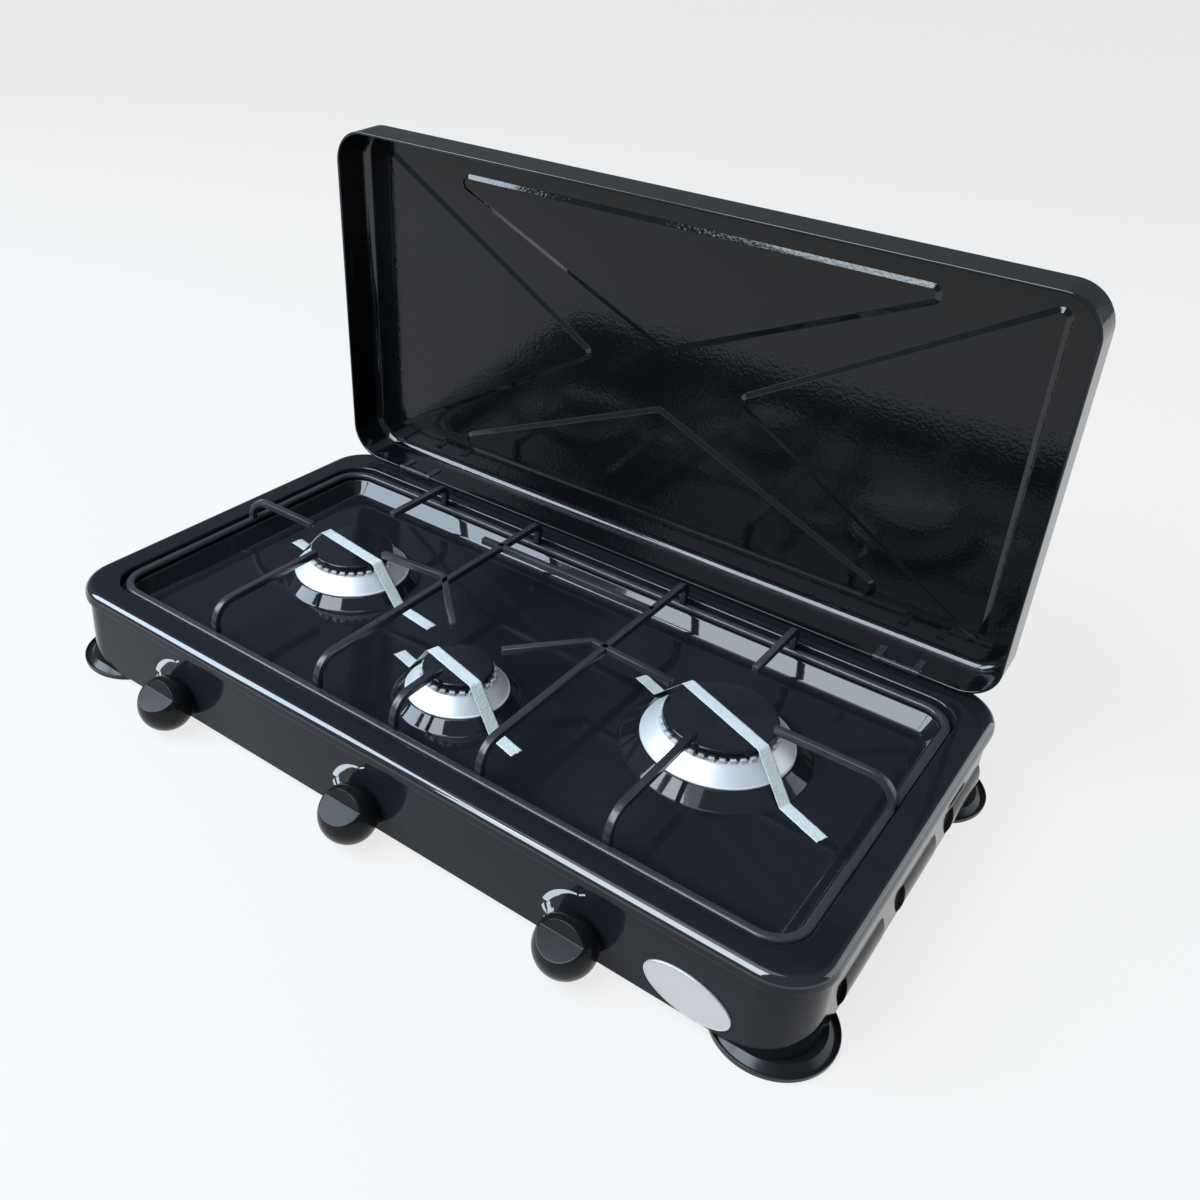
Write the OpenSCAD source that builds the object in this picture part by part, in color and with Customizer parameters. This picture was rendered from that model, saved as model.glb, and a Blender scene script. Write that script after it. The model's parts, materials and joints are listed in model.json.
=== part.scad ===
// Three-burner tabletop gas cooker with a hinged lid.
// Millimetres. X runs along the length, Y to the back, Z up from the table.
// The lid is drawn shut and turned about its hinge pins by lid_open.

/* [Casing] */
// overall length of the casing over the rolled edge
body_l = 660; // [600:1:720]
// overall depth of the casing over the rolled edge
body_d = 352; // [330:1:390]
// height of the flat rim above the table
rim_z = 76; // [72:0.5:86]
// height of the lower edge of the skirt above the table
skirt_z = 7; // [6.5:0.5:9]
// sheet thickness of the casing
sheet = 1; // [0.8:0.1:1.2]
// depth below the rim of the ledge that carries the pan support
ledge_drop = 8.5; // [7.5:0.5:9.5]
// depth below the rim of the well's floor
floor_drop = 21; // [19:0.5:23]
// height of the burner domes above the floor
dome_h = 9; // [8:0.5:10]
// width of the rim at each end of the well
rim_side = 23.5; // [22:0.5:26]
// width of the rim in front of the well
rim_front = 22; // [20:0.5:24]
// width of the rim behind the well
rim_back = 33; // [31:0.5:36]

/* [Pan support] */
// height of the middle of the top bars above the rim
bar_rise = 17; // [15.5:0.5:20]
// side of the square bars
bar_w = 5.5; // [4.5:0.5:6.5]
// width of the perimeter bar
ring_w = 7; // [6:0.5:7.5]
// height of the perimeter bar
ring_t = 5; // [4:0.5:6]

/* [Burners] */
// cap radius of the left, centre and right burners
cap_r = [35, 26.8, 42];
// outer radius of the aluminium heads
head_r = [49, 39.5, 56.5];
// radius of the raised domes round the burners
dome_r = [58, 49, 70];
// distance of each burner from the middle of the length
burner_x = [-185.5, -8, 172.5];
// distance of each burner behind the middle of the depth
burner_y = [7.5, -67, 7.5];
// height of the aluminium heads above the domes
head_h = 15.5; // [14:0.5:17]
// thickness of the caps at their edge
cap_t = 5.5; // [5:0.5:6]

/* [Knobs and taps] */
// distance of each knob from the middle of the length
knob_x = [-197.5, -6, 177];
// height of the knobs' axes above the table
knob_z = 24.5; // [23.5:0.5:26.5]
// radius of the knobs
knob_r = 21.5; // [19.5:0.5:23.5]
// push travel of the knobs before they turn
push_travel = 2.5; // [1.5:0.5:3.5]

/* [Lid] */
// height of the lid's skirt
lid_skirt = 38; // [34:0.5:42]
// distance of the lid's ends inside the casing's ends
lid_side = 8; // [7:0.5:9]
// distance of the lid's front edge behind the casing's front
lid_front = 19; // [17:0.5:21]
// depth of the pressed fields of the lid
press_h = 1.8; // [1.2:0.1:2.4]
// angle the lid stands open
lid_open = 86; // [80:1:95]

/* [Feet] */
// radius of the feet
foot_r = 41; // [36:0.5:45]
// distance of each foot's middle from the end of the casing
foot_side = 31.5; // [30:0.5:36]
// distance of each foot's middle from the front or back of the casing
foot_front = 37; // [34:0.5:42]

/* [Hidden] */
// running fit of turning and sliding faces, radial
run_fit = 0.05;
// clearance of parts that only pass one another, radial
free_fit = 0.4;
// clearance of parts pressed or clamped together, radial
push_fit = 0.02;

half_l = body_l / 2;
half_d = body_d / 2;
corner_r = 38;
panel_in = 3;
panel_y = half_d - panel_in;
panel_x = half_l - panel_in;
roll_h = 15;
rim_in = 7;

// the well sits a little forward of the middle
ledge_z = rim_z - ledge_drop;
floor_z = rim_z - floor_drop;
well_y = (rim_front - rim_back) / 2;
well_hx = half_l - rim_side;
well_hy = half_d - (rim_front + rim_back) / 2;
well_r = 27;
ledge_in = 10;
slope_in = 20;

// pan support; its ring lies on the ledge with some play
buffer_h = 1;
ring_play_x = 1;
ring_play_front = 4.5;
ring_play_back = 3.5;
ring_z = ledge_z + buffer_h;
ring_top = ring_z + ring_t;
ring_cy = well_y + (ring_play_front - ring_play_back) / 2;
ring_hx = well_hx - ring_play_x;
ring_hy = well_hy - (ring_play_front + ring_play_back) / 2;
ring_r = 27.5;
bar_z = rim_z + bar_rise;
ring_mx = ring_hx - ring_w / 2;
ring_my = ring_hy - ring_w / 2;
ring_front = ring_cy - ring_my;
ring_back = ring_cy + ring_my;

// hinge
hinge_in = 16;
hinge_end = 85;
hinge_rise = 4;
hinge_y = half_d - hinge_in;
hinge_z = rim_z + hinge_rise;
hinge_x = half_l - hinge_end;
knuckle_w = 24;
knuckle_r = 2.8;
pin_r = 1.5;
lug_w = 6;
lug_gap = 0.5;
lug_t = 1;
lid_gap = 1.5;
lid_over = 0.5;
lid_top = rim_z + lid_gap + lid_skirt;
lid_back = hinge_y + lid_over;
lid_l = body_l - 2 * lid_side;
lid_d = lid_back + half_d - lid_front;
lid_cy = lid_back - lid_d / 2;
lid_r = 30;
leaf_t = 1;
leaf_y = hinge_y + 1.3;
flange_l = 14;

// taps
tap_u0 = 9;
tap_r = 10;
plug_r = 6;
plug_len = 16;
washer_t = 1.5;
shoulder_t = 2;
spring_l = 5;
plug_u = tap_u0 + shoulder_t + washer_t + spring_l + push_travel;
tap_len = plug_u + plug_len + 6 - tap_u0;
port_u = plug_u + 13;
spindle_r = 4;
tail_r = 2.5;
rail_r = 6;
rail_y = -panel_y + port_u;
rail_z = knob_z + tap_r + rail_r + 0.5;
rail_bore = 4.5;
nozzle_end = 68;
nozzle_x = nozzle_end - half_l;
bend_r = 18;
knob_clear = 1;
knob_back = push_travel + knob_clear;
knob_mid = 14.5;

// burners
head_z = floor_z + dome_h;
crown_z = head_z + head_h;
cap_z = crown_z + cap_t;
crown_out = 2;
crown_w = 4;
ports = [30, 24, 36];
port_w = 2.8;
port_h = 3;

// front and back of the whole object with the lid open
front_y = -panel_y - knob_mid - knob_r;
back_y = hinge_y + (lid_top - hinge_z) * sin(lid_open) + (lid_back - hinge_y) * cos(lid_open);
y_shift = -(front_y + back_y) / 2;

badge_end = 75.4;
badge_x = half_l - badge_end;
badge_z = knob_z + 1;
badge_rx = 30.5;
badge_rz = 16.1;
badge_t = 1.4;
badge_rim = 1.2;
badge_tilt = -9;
badge_pin = 18;
pin_hole_r = 1.2;

black = [0.05, 0.05, 0.055];
steel = [0.72, 0.73, 0.74];
alu = [0.80, 0.81, 0.82];
brass = [0.80, 0.62, 0.30];
rubber = [0.09, 0.09, 0.09];
pale = [0.86, 0.88, 0.84];

module placed() translate([0, y_shift, 0]) children();
module both_sides() for (s = [-1, 1]) scale([s, 1, 1]) children();
module four_corners() for (sx = [-1, 1]) for (sy = [-1, 1]) scale([sx, sy, 1]) children();

function arc(cx, cy, r, a0, a1, n) =
  [for (i = [0:n]) [cx + r * cos(a0 + (a1 - a0) * i / n), cy + r * sin(a0 + (a1 - a0) * i / n)]];

// flat rectangle with round corners, centred
module rrect(hx, hy, r) {
  square([2 * (hx - r), 2 * hy], center = true);
  square([2 * hx, 2 * (hy - r)], center = true);
  for (sx = [-1, 1])
    for (sy = [-1, 1])
      translate([sx * (hx - r), sy * (hy - r)]) circle(r = r, $fn = 64);
}

// a profile (distance outward from the corner's centre, height) swept round a rectangle
module sweep(hx, hy, r, profile) {
  sx = hx - r;
  sy = hy - r;
  for (s = [0, 180])
    rotate([0, 0, s]) {
      translate([sx, sy, 0]) rotate([90, 0, 0]) linear_extrude(2 * sy) polygon(profile);
      translate([-sx, sy, 0]) rotate([90, 0, 90]) linear_extrude(2 * sx) polygon(profile);
      translate([sx, sy, 0]) rotate_extrude(angle = 90, $fn = 48) polygon(profile);
      translate([-sx, sy, 0]) rotate([0, 0, 90]) rotate_extrude(angle = 90, $fn = 48) polygon(profile);
    }
}

// ---------------------------------------------------------------- casing
// rolled edge, skirt and its inward hem, as one sheet
function casing_profile() =
  let (r = corner_r, t = sheet, a = rim_in, p = r - panel_in)
  concat(
    [[r - a - 4, rim_z]],
    arc(r - a, rim_z - a, a, 90, 0, 6),
    [[r, rim_z - roll_h + 4], [p, rim_z - roll_h], [p, skirt_z], [p - 9, skirt_z], [p - 9, skirt_z + t],
     [p - t, skirt_z + t], [p - t, rim_z - roll_h + 0.6], [r - t, rim_z - roll_h + 4.6]],
    arc(r - a, rim_z - a, a - t, 0, 90, 6),
    [[r - a - 4, rim_z - t]]);

// step, ledge, sloping wall and edge of the floor, as one sheet
function well_profile() =
  let (r = well_r, t = sheet)
  [[r + 3, rim_z], [r + 1.2, rim_z], [r, rim_z - 1.2], [r - 0.6, ledge_z + 1], [r - 1.6, ledge_z],
   [r - ledge_in, ledge_z], [r - ledge_in - 1.5, ledge_z - 1], [r - slope_in + 1.5, floor_z + 1],
   [r - slope_in, floor_z], [r - slope_in - 3, floor_z], [r - slope_in - 3, floor_z - t],
   [r - slope_in + 0.4, floor_z - t], [r - slope_in + 2.2, floor_z + 0.2], [r - ledge_in - 0.8, ledge_z - 1.9],
   [r - ledge_in + 0.4, ledge_z - t], [r - 1, ledge_z - t], [r + 0.4, ledge_z + 0.6],
   [r + 1, rim_z - t - 0.6], [r + 1.6, rim_z - t], [r + 3, rim_z - t]];

// raised dome with a flat top that carries the burner head
module dome(i) {
  t = sheet;
  r0 = dome_r[i];
  r1 = head_r[i] - 1;
  r2 = cap_r[i] - 5;
  rotate_extrude($fn = 96)
    polygon([[r0 + 2, floor_z], [r0, floor_z], [r1 + 2, head_z - 1], [r1, head_z], [r2, head_z],
      [r2, head_z - t], [r1 - 0.5, head_z - t], [r1 + 1.2, head_z - t - 0.8], [r0 - 0.7, floor_z - t],
      [r0 + 2, floor_z - t]]);
}

// louvres in the side panels: a hood open along its lower edge
vent_y = [-82, 14, 110];
vent_w = 60;
vent_z = skirt_z + 18;
vent_h = 26;
vent_out = 3;
hood_r = (vent_h * vent_h / 4 + vent_out * vent_out) / (2 * vent_out);
module vent_hood() {
  translate([panel_x + vent_out - hood_r, 0, vent_z]) difference() {
    rotate([90, 0, 0]) cylinder(r = hood_r, h = vent_w, center = true, $fn = 96);
    rotate([90, 0, 0]) cylinder(r = hood_r - sheet, h = vent_w - 2 * sheet, center = true, $fn = 96);
    translate([-2 * hood_r - vent_out - sheet / 2, -vent_w, -2 * hood_r])
      cube([3 * hood_r, 2 * vent_w, 4 * hood_r]);
    translate([-hood_r, -vent_w / 2 + sheet, -vent_h / 2 - 1])
      cube([3 * hood_r, vent_w - 2 * sheet, 7]);
  }
}
module vent_slot() {
  translate([panel_x - 5, -vent_w / 2 + sheet + 1, vent_z - vent_h / 2 + 3])
    cube([10, vent_w - 2 * sheet - 2, vent_h - 7]);
}

module casing() color(black) placed() {
  difference() {
    union() {
      sweep(half_l, half_d, corner_r, casing_profile());
      translate([0, 0, rim_z - sheet]) linear_extrude(sheet) difference() {
        rrect(half_l - rim_in - 2, half_d - rim_in - 2, corner_r - rim_in - 2);
        translate([0, well_y]) rrect(well_hx + 2, well_hy + 2, well_r + 2);
      }
      translate([0, well_y, 0]) sweep(well_hx, well_hy, well_r, well_profile());
      translate([0, 0, floor_z - sheet]) linear_extrude(sheet) difference() {
        translate([0, well_y])
          rrect(well_hx - slope_in - 2, well_hy - slope_in - 2, well_r - slope_in - 2);
        for (i = [0:2]) translate([burner_x[i], burner_y[i]]) circle(r = dome_r[i] + 1, $fn = 96);
      }
      for (i = [0:2]) translate([burner_x[i], burner_y[i], 0]) dome(i);
    }
    both_sides() for (y = vent_y) translate([0, y, 0]) vent_slot();
    for (x = knob_x)
      translate([x, -panel_y - 5, knob_z]) rotate([-90, 0, 0]) cylinder(r = spindle_r + 3, h = 10, $fn = 48);
    both_sides() translate([hinge_x - knuckle_w / 2 - 2, leaf_y - 0.8, rim_z - 5])
      cube([knuckle_w + 4, 4, 10]);
    translate([nozzle_x, panel_y - 5, rail_z]) rotate([-90, 0, 0]) cylinder(r = 8.5, h = 10, $fn = 48);
    for (s = [-1, 1]) badge_pin_place(s) along(-1, 4, pin_hole_r, 24);
    for (i = [0:2]) burner_screw_places(i) cylinder(r = screw_r + 0.2, h = 8, center = true, $fn = 24);
    both_sides() translate([stop_x, stop_y, rim_z - 5]) cylinder(r = stop_pin, h = 10, $fn = 24);
  }
  both_sides() for (y = vent_y) translate([0, y, 0]) vent_hood();
}

// ---------------------------------------------------------------- feet
foot_x = half_l - foot_side;
foot_y = half_d - foot_front;
gusset_t = 1.5;
gusset_l = 60;
module gusset() {
  difference() {
    translate([panel_x - sheet - gusset_l, panel_y - sheet - gusset_l, skirt_z + sheet])
      linear_extrude(gusset_t) difference() {
        intersection() {
          square([gusset_l, gusset_l]);
          translate([-gusset_l, -gusset_l]) rrect(2 * gusset_l, 2 * gusset_l, corner_r - panel_in - sheet);
        }
        circle(r = 22, $fn = 64);
      }
    translate([foot_x, foot_y, 0]) cylinder(r = 2.2, h = 30, $fn = 24);
  }
}
module corner_gussets() color(steel) placed() four_corners() gusset();

module foot(sx, sy) color(rubber) placed() translate([sx * foot_x, sy * foot_y, 0])
  rotate_extrude($fn = 96)
    polygon([[2.2, 3], [6, 3], [6, 0], [foot_r - 3, 0], [foot_r - 0.8, 0.8], [foot_r, 2.2], [foot_r, 3.2],
      [foot_r - 1.4, 4], [foot_r - 3.4, 4], [foot_r - 4, 4.6], [foot_r - 4, 5.6], [foot_r - 4.6, 6.2],
      [18, 6.2], [17, skirt_z], [12, skirt_z], [12, skirt_z + sheet], [2.2, skirt_z + sheet]]);
module foot_fl() foot(-1, -1);
module foot_fr() foot(1, -1);
module foot_bl() foot(-1, 1);
module foot_br() foot(1, 1);

// screws up through each foot into its gusset
module foot_screws() color(steel) placed() four_corners() translate([foot_x, foot_y, 0]) {
  translate([0, 0, 1.2]) cylinder(r = 4, h = 1.8, $fn = 32);
  translate([0, 0, 2.5]) cylinder(r = 2, h = skirt_z + 6 - 2.5, $fn = 24);
}

// ---------------------------------------------------------------- lid
module in_lid() placed() translate([0, hinge_y, hinge_z]) rotate([-lid_open, 0, 0])
  translate([0, -hinge_y, -hinge_z]) children();

// skirt with a folded free edge, bend and edge of the plate, as one sheet
function lid_profile() =
  let (r = lid_r, t = sheet, b = 8.5, z0 = rim_z + lid_gap)
  concat(
    [[r - 12, lid_top]],
    arc(r - b, lid_top - b, b, 90, 0, 6),
    [[r, z0 + 0.6], [r - 0.6, z0], [r - 1.6, z0], [r - 2.2, z0 + 0.6], [r - 2.2, z0 + 6.4], [r - t, z0 + 7]],
    arc(r - b, lid_top - b, b - t, 0, 90, 6),
    [[r - 12, lid_top - t]]);

// triangle with round corners; p holds the corners, counter-clockwise
function unit(v) = v / norm(v);
function corner_arc(a, b, c, r) =
  let (u = unit(a - b), v = unit(c - b), w = unit(u + v),
    half = acos(u * v) / 2, m = b + w * r / sin(half),
    s0 = b + u * r / tan(half), s1 = b + v * r / tan(half),
    a0 = atan2(s0[1] - m[1], s0[0] - m[0]), d = atan2(s1[1] - m[1], s1[0] - m[0]) - a0,
    turn = d > 180 ? d - 360 : d < -180 ? d + 360 : d)
  [for (i = [0:4]) m + r * [cos(a0 + turn * i / 4), sin(a0 + turn * i / 4)]];
function round_tri(p, r) =
  concat(corner_arc(p[2], p[0], p[1], r), corner_arc(p[0], p[1], p[2], r), corner_arc(p[1], p[2], p[0], r));
// the same triangle moved in by d on every side
function tri_in(p, d) =
  let (a = norm(p[1] - p[2]), b = norm(p[2] - p[0]), c = norm(p[0] - p[1]),
    m = (a * p[0] + b * p[1] + c * p[2]) / (a + b + c), s = (a + b + c) / 2,
    rho = sqrt((s - a) * (s - b) * (s - c) / s))
  [for (q = p) m + (q - m) * (rho - d) / rho];

// pressed fields, as distances from the middle and forward of the back fold
field_end = [[lid_l / 2 - 25, 17.6], [lid_l / 2 - 25, lid_d - 15.3], [lid_l / 2 - 260, 162]];
field_front = [[-244, lid_d - 26.2], [0, lid_d - 136], [244, lid_d - 26.2]];
field_back = [[-250, 25], [250, 25], [0, 135]];
field_r = [9, 9, 9, 11];
function on_lid(p) = [for (q = p) [q[0], lid_back - q[1]]];
fields = [on_lid(field_end), on_lid([for (q = field_end) [-q[0], q[1]]]), on_lid(field_front), on_lid(field_back)];
notch_w = knuckle_w + 2 * (lug_w + lug_gap + 1);

module lid_panel() color(black) in_lid() {
  difference() {
    union() {
      translate([0, lid_cy, 0]) sweep(lid_l / 2, lid_d / 2, lid_r, lid_profile());
      translate([0, 0, lid_top - sheet]) linear_extrude(sheet) difference() {
        translate([0, lid_cy]) rrect(lid_l / 2 - 10, lid_d / 2 - 10, lid_r - 10);
        for (k = [0:3]) polygon(round_tri(fields[k], field_r[k]));
      }
      translate([0, 0, lid_top - sheet - press_h]) {
        linear_extrude(sheet) for (k = [0:3]) polygon(round_tri(tri_in(fields[k], press_h), field_r[k] - press_h));
        linear_extrude(sheet + press_h) for (k = [0:3]) difference() {
          polygon(round_tri(fields[k], field_r[k]));
          polygon(round_tri(tri_in(fields[k], press_h + 0.2), field_r[k] - press_h - 0.2));
        }
      }
    }
    both_sides() translate([hinge_x - notch_w / 2, lid_back - 5, 0]) cube([notch_w, 10, rim_z + lid_gap + 7.5]);
  }
}

// rolled lugs each side of the fixed knuckle, welded inside the skirt
module lid_lugs() color(steel) in_lid() both_sides() for (s = [-1, 1])
  translate([hinge_x + s * (knuckle_w / 2 + lug_gap + lug_w / 2), hinge_y, hinge_z]) difference() {
    union() {
      rotate([0, 90, 0]) cylinder(r = knuckle_r, h = lug_w, center = true, $fn = 32);
      translate([-lug_w / 2, lid_over - sheet - lug_t, 0]) cube([lug_w, lug_t, 16]);
    }
    rotate([0, 90, 0]) cylinder(r = pin_r, h = lug_w + 2, center = true, $fn = 32);
  }
module hinge_pins() color(steel) in_lid() both_sides() translate([hinge_x, hinge_y, hinge_z])
  rotate([0, 90, 0]) cylinder(r = pin_r, h = knuckle_w + 2 * (lug_gap + lug_w) + 2, center = true, $fn = 32);

// knuckle rolled from a strip that drops through the rim and turns under it
module hinge_knuckles() color(steel) placed() both_sides()
  translate([hinge_x - knuckle_w / 2, 0, 0]) difference() {
    union() {
      translate([0, hinge_y, hinge_z]) rotate([0, 90, 0]) cylinder(r = knuckle_r, h = knuckle_w, $fn = 32);
      translate([0, leaf_y, rim_z - sheet - leaf_t]) cube([knuckle_w, leaf_t, hinge_z - rim_z + sheet + leaf_t]);
      translate([0, leaf_y + leaf_t - flange_l, rim_z - sheet - leaf_t]) cube([knuckle_w, flange_l, leaf_t]);
    }
    translate([-1, hinge_y, hinge_z]) rotate([0, 90, 0])
      cylinder(r = pin_r + run_fit, h = knuckle_w + 2, $fn = 32);
  }

// rubber stops on the rim that the open lid leans back on
stop_x = hinge_x - 45;
stop_y = hinge_y + 5.5;
stop_r = 2.8;
stop_pin = 1.4;
stop_head = 1.5;
module lid_stops() color(rubber) placed() both_sides() translate([stop_x, stop_y, rim_z - sheet - stop_head]) {
  h = hinge_z + (stop_y - stop_r - hinge_y) * cos(lid_open) / sin(lid_open) - lid_over - 0.05 - rim_z;
  cylinder(r = stop_pin, h = sheet + stop_head + 0.5, $fn = 24);
  cylinder(r = stop_pin + 1, h = stop_head, $fn = 24);
  translate([0, 0, sheet + stop_head]) cylinder(r = stop_r, h = h, $fn = 32);
}

// ---------------------------------------------------------------- pan support
module grid_ring() color(black) placed() translate([0, ring_cy, 0])
  sweep(ring_hx, ring_hy, ring_r,
    [[ring_r - ring_w, ring_z], [ring_r, ring_z], [ring_r, ring_top], [ring_r - ring_w, ring_top]]);

// leg rising from the ring, bend and level run of length l towards +X; origin on the leg's line
module leg_run(bend, l) {
  h = bar_z - ring_top;
  translate([-bar_w / 2, -bar_w / 2, ring_top]) cube([bar_w, bar_w, h - bend]);
  translate([bend, 0, bar_z - bend]) rotate([90, 0, 0]) rotate([0, 0, 90])
    rotate_extrude(angle = 90, $fn = 48) translate([bend, 0]) square(bar_w, center = true);
  translate([bend, -bar_w / 2, bar_z - bar_w / 2]) cube([l - bend, bar_w, bar_w]);
}
// level bar between two plan points, with square ends
module level(a, b) {
  d = b - a;
  translate([a[0], a[1], bar_z - bar_w / 2]) rotate([0, 0, atan2(d[1], d[0])])
    translate([0, -bar_w / 2, 0]) cube([norm(d), bar_w, bar_w]);
}
// level bar bent once, mitred at the bend
function across(a, b) = [a[1] - b[1], b[0] - a[0]] / norm(b - a);
module bent_rod(p) {
  n0 = across(p[0], p[1]);
  n1 = across(p[1], p[2]);
  m = (n0 + n1) / (1 + n0 * n1);
  h = bar_w / 2;
  translate([0, 0, bar_z - h]) linear_extrude(bar_w)
    polygon([p[0] + n0 * h, p[1] + m * h, p[2] + n1 * h, p[2] - n1 * h, p[1] - m * h, p[0] - n0 * h]);
}

// the bends at the ends take nearly the whole rise of the bars, those at the front a little less
bend_end = bar_z - ring_top - 0.5;
bend_front = bar_z - ring_top - 2.5;
bend_back = 8;
long_x = [-80.5, 70];
// bent rods that hold small pans over the centre burner
angle_l = [[-147.5, 4.6], [-87, 10.7], [-35, -40.3]];
angle_r = [[13, -42], [58, 12.4], [130, 7.5]];
module grid_bars() color(black) placed() {
  for (x = long_x) {
    translate([x, ring_front, 0]) rotate([0, 0, 90]) leg_run(bend_front, ring_back - ring_front - bend_back);
    translate([x, ring_back, 0]) rotate([0, 0, -90]) leg_run(bend_back, bend_back + 1);
  }
  bent_rod(angle_l);
  bent_rod(angle_r);
  level(cross_a, [long_x[1], cross_a[1]]);
}
// free end of the bar across the back of the centre burner
cross_a = [-100, 80.4];

// single fingers: place along the ring and where the tip ends
front_fingers = [[-190, -31.5], [-7, -90], [172, -34]];
back_fingers = [[-188, 61], [170, 62.5]];
left_finger = [1, -226];
right_finger = [7.6, 213];
module grid_fingers() color(black) placed() {
  for (f = front_fingers) front_finger(f[0], f[1]);
  for (f = back_fingers) back_finger(f[0], f[1]);
  translate([-ring_mx, left_finger[0], 0]) leg_run(bend_end, ring_mx + left_finger[1]);
  translate([ring_mx, right_finger[0], 0]) rotate([0, 0, 180]) leg_run(bend_end, ring_mx - right_finger[1]);
}
module front_finger(x, tip) translate([x, ring_front, 0]) rotate([0, 0, 90]) leg_run(bend_front, tip - ring_front);
module back_finger(x, tip) translate([x, ring_back, 0]) rotate([0, 0, -90]) leg_run(bend_back, ring_back - tip);

module grid_buffers() color(rubber) placed()
  for (x = [back_fingers[0][0], long_x[0], long_x[1], back_fingers[1][0]]) for (y = [ring_front, ring_back])
    translate([x, y, ledge_z]) cylinder(r = 3, h = buffer_h, $fn = 24);

// ---------------------------------------------------------------- burners
neck_r = 12;
bowl_r = 22;
bowl_h = 21;
cup_t = 2;
tube_r = 11;
mouth_u = tap_u0 + tap_len + 7;
screw_r = 1.5;
module at_burner(i) translate([burner_x[i], burner_y[i], 0]) children();
module burner_screw_places(i) at_burner(i) for (s = [-1, 1])
  translate([s * (cap_r[i] - 0.5), 0, head_z]) children();

// cast mixing cup with its tube, hung under the dome
module burner_cup(i) color(alu) placed() {
  dx = knob_x[i] - burner_x[i];
  dy = -panel_y + mouth_u - burner_y[i];
  top = head_z - sheet;
  at_burner(i) difference() {
    union() {
      translate([0, 0, top - cup_t]) cylinder(r = cap_r[i] + 3, h = cup_t, $fn = 64);
      translate([0, 0, top - bowl_h]) cylinder(r = bowl_r, h = bowl_h, $fn = 64);
      translate([0, 0, knob_z - tube_r - 0.5])
        cylinder(r = neck_r, h = top - bowl_h + 1 - knob_z + tube_r + 0.5, $fn = 48);
      translate([0, 0, knob_z]) rotate([0, 0, atan2(dy, dx)]) rotate([0, 90, 0])
        cylinder(r = tube_r, h = norm([dx, dy]), $fn = 48);
    }
    translate([0, 0, top - bowl_h + cup_t]) cylinder(r = bowl_r - cup_t, h = bowl_h, $fn = 64);
    translate([0, 0, knob_z - 10]) cylinder(r = neck_r - cup_t, h = top - knob_z, $fn = 48);
    translate([0, 0, knob_z]) rotate([0, 0, atan2(dy, dx)]) rotate([0, 90, 0])
      cylinder(r = tube_r - cup_t, h = norm([dx, dy]) + 1, $fn = 48);
    for (s = [-1, 1]) translate([s * (cap_r[i] - 0.5), 0, top - 10]) cylinder(r = screw_r, h = 20, $fn = 24);
  }
}
module burner_cup_l() burner_cup(0);
module burner_cup_c() burner_cup(1);
module burner_cup_r() burner_cup(2);

module burner_screws() color(steel) placed() for (i = [0:2]) burner_screw_places(i) {
  cylinder(r = 2.8, h = 1.8, $fn = 24);
  translate([0, 0, -6]) cylinder(r = screw_r, h = 7, $fn = 24);
}

// ported head: lip, cone and toothed crown, with a spigot into the cup
module burner_head(i) color(alu) placed() at_burner(i) {
  r0 = head_r[i];
  r1 = cap_r[i] + crown_out;
  rb = bowl_r - cup_t - free_fit;
  difference() {
    rotate_extrude($fn = 96)
      polygon([[r0, head_z], [r0, head_z + 1], [r0 - 1.2, head_z + 1.8], [r1 + 0.6, crown_z - port_h - 0.9],
        [r1, crown_z - port_h - 0.3], [r1, crown_z], [r1 - crown_w, crown_z], [r1 - crown_w, crown_z - port_h - 1.5],
        [rb - 3, crown_z - 9], [rb - 3, head_z - 8], [rb, head_z - 8],
        [rb, crown_z - 11], [r1 - 1.5, crown_z - 7], [r0 - 4.6, head_z]]);
    for (k = [0:ports[i] / 2 - 1]) rotate([0, 0, (k + 0.5) * 360 / ports[i]])
      translate([-2 * r0, -port_w / 2, crown_z - port_h]) cube([4 * r0, port_w, 5]);
  }
}
module burner_head_l() burner_head(0);
module burner_head_c() burner_head(1);
module burner_head_r() burner_head(2);

// flat cap, hollow beneath, with a locating ring that drops inside the crown
module burner_cap(i) color(black) placed() at_burner(i) {
  r = cap_r[i];
  ro = r + crown_out - crown_w - free_fit;
  rotate_extrude($fn = 96)
    polygon([[0, cap_z], [r - 1.6, cap_z], [r - 0.5, cap_z - 0.5], [r, cap_z - 1.6], [r, crown_z + 0.6],
      [r - 0.6, crown_z], [ro, crown_z], [ro, crown_z - 2.4], [ro - 1.6, crown_z - 2.4], [ro - 1.6, cap_z - 2.5],
      [0, cap_z - 2.5]]);
}
module burner_cap_l() burner_cap(0);
module burner_cap_c() burner_cap(1);
module burner_cap_r() burner_cap(2);

// strips of tape over the caps: their ends from each burner's middle, in plan
tape_ends = [[[-79.4, 10.5], [104.3, -17]], [[-70.5, 14.5], [74.6, -25]], [[-87.2, 39], [100.7, -39.2]]];
tape_w = 10.5;
tape_t = 0.4;
tape_gap = 0.3;
// how far a strip clears the edge of its cap
tape_over = 0.4;
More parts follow.
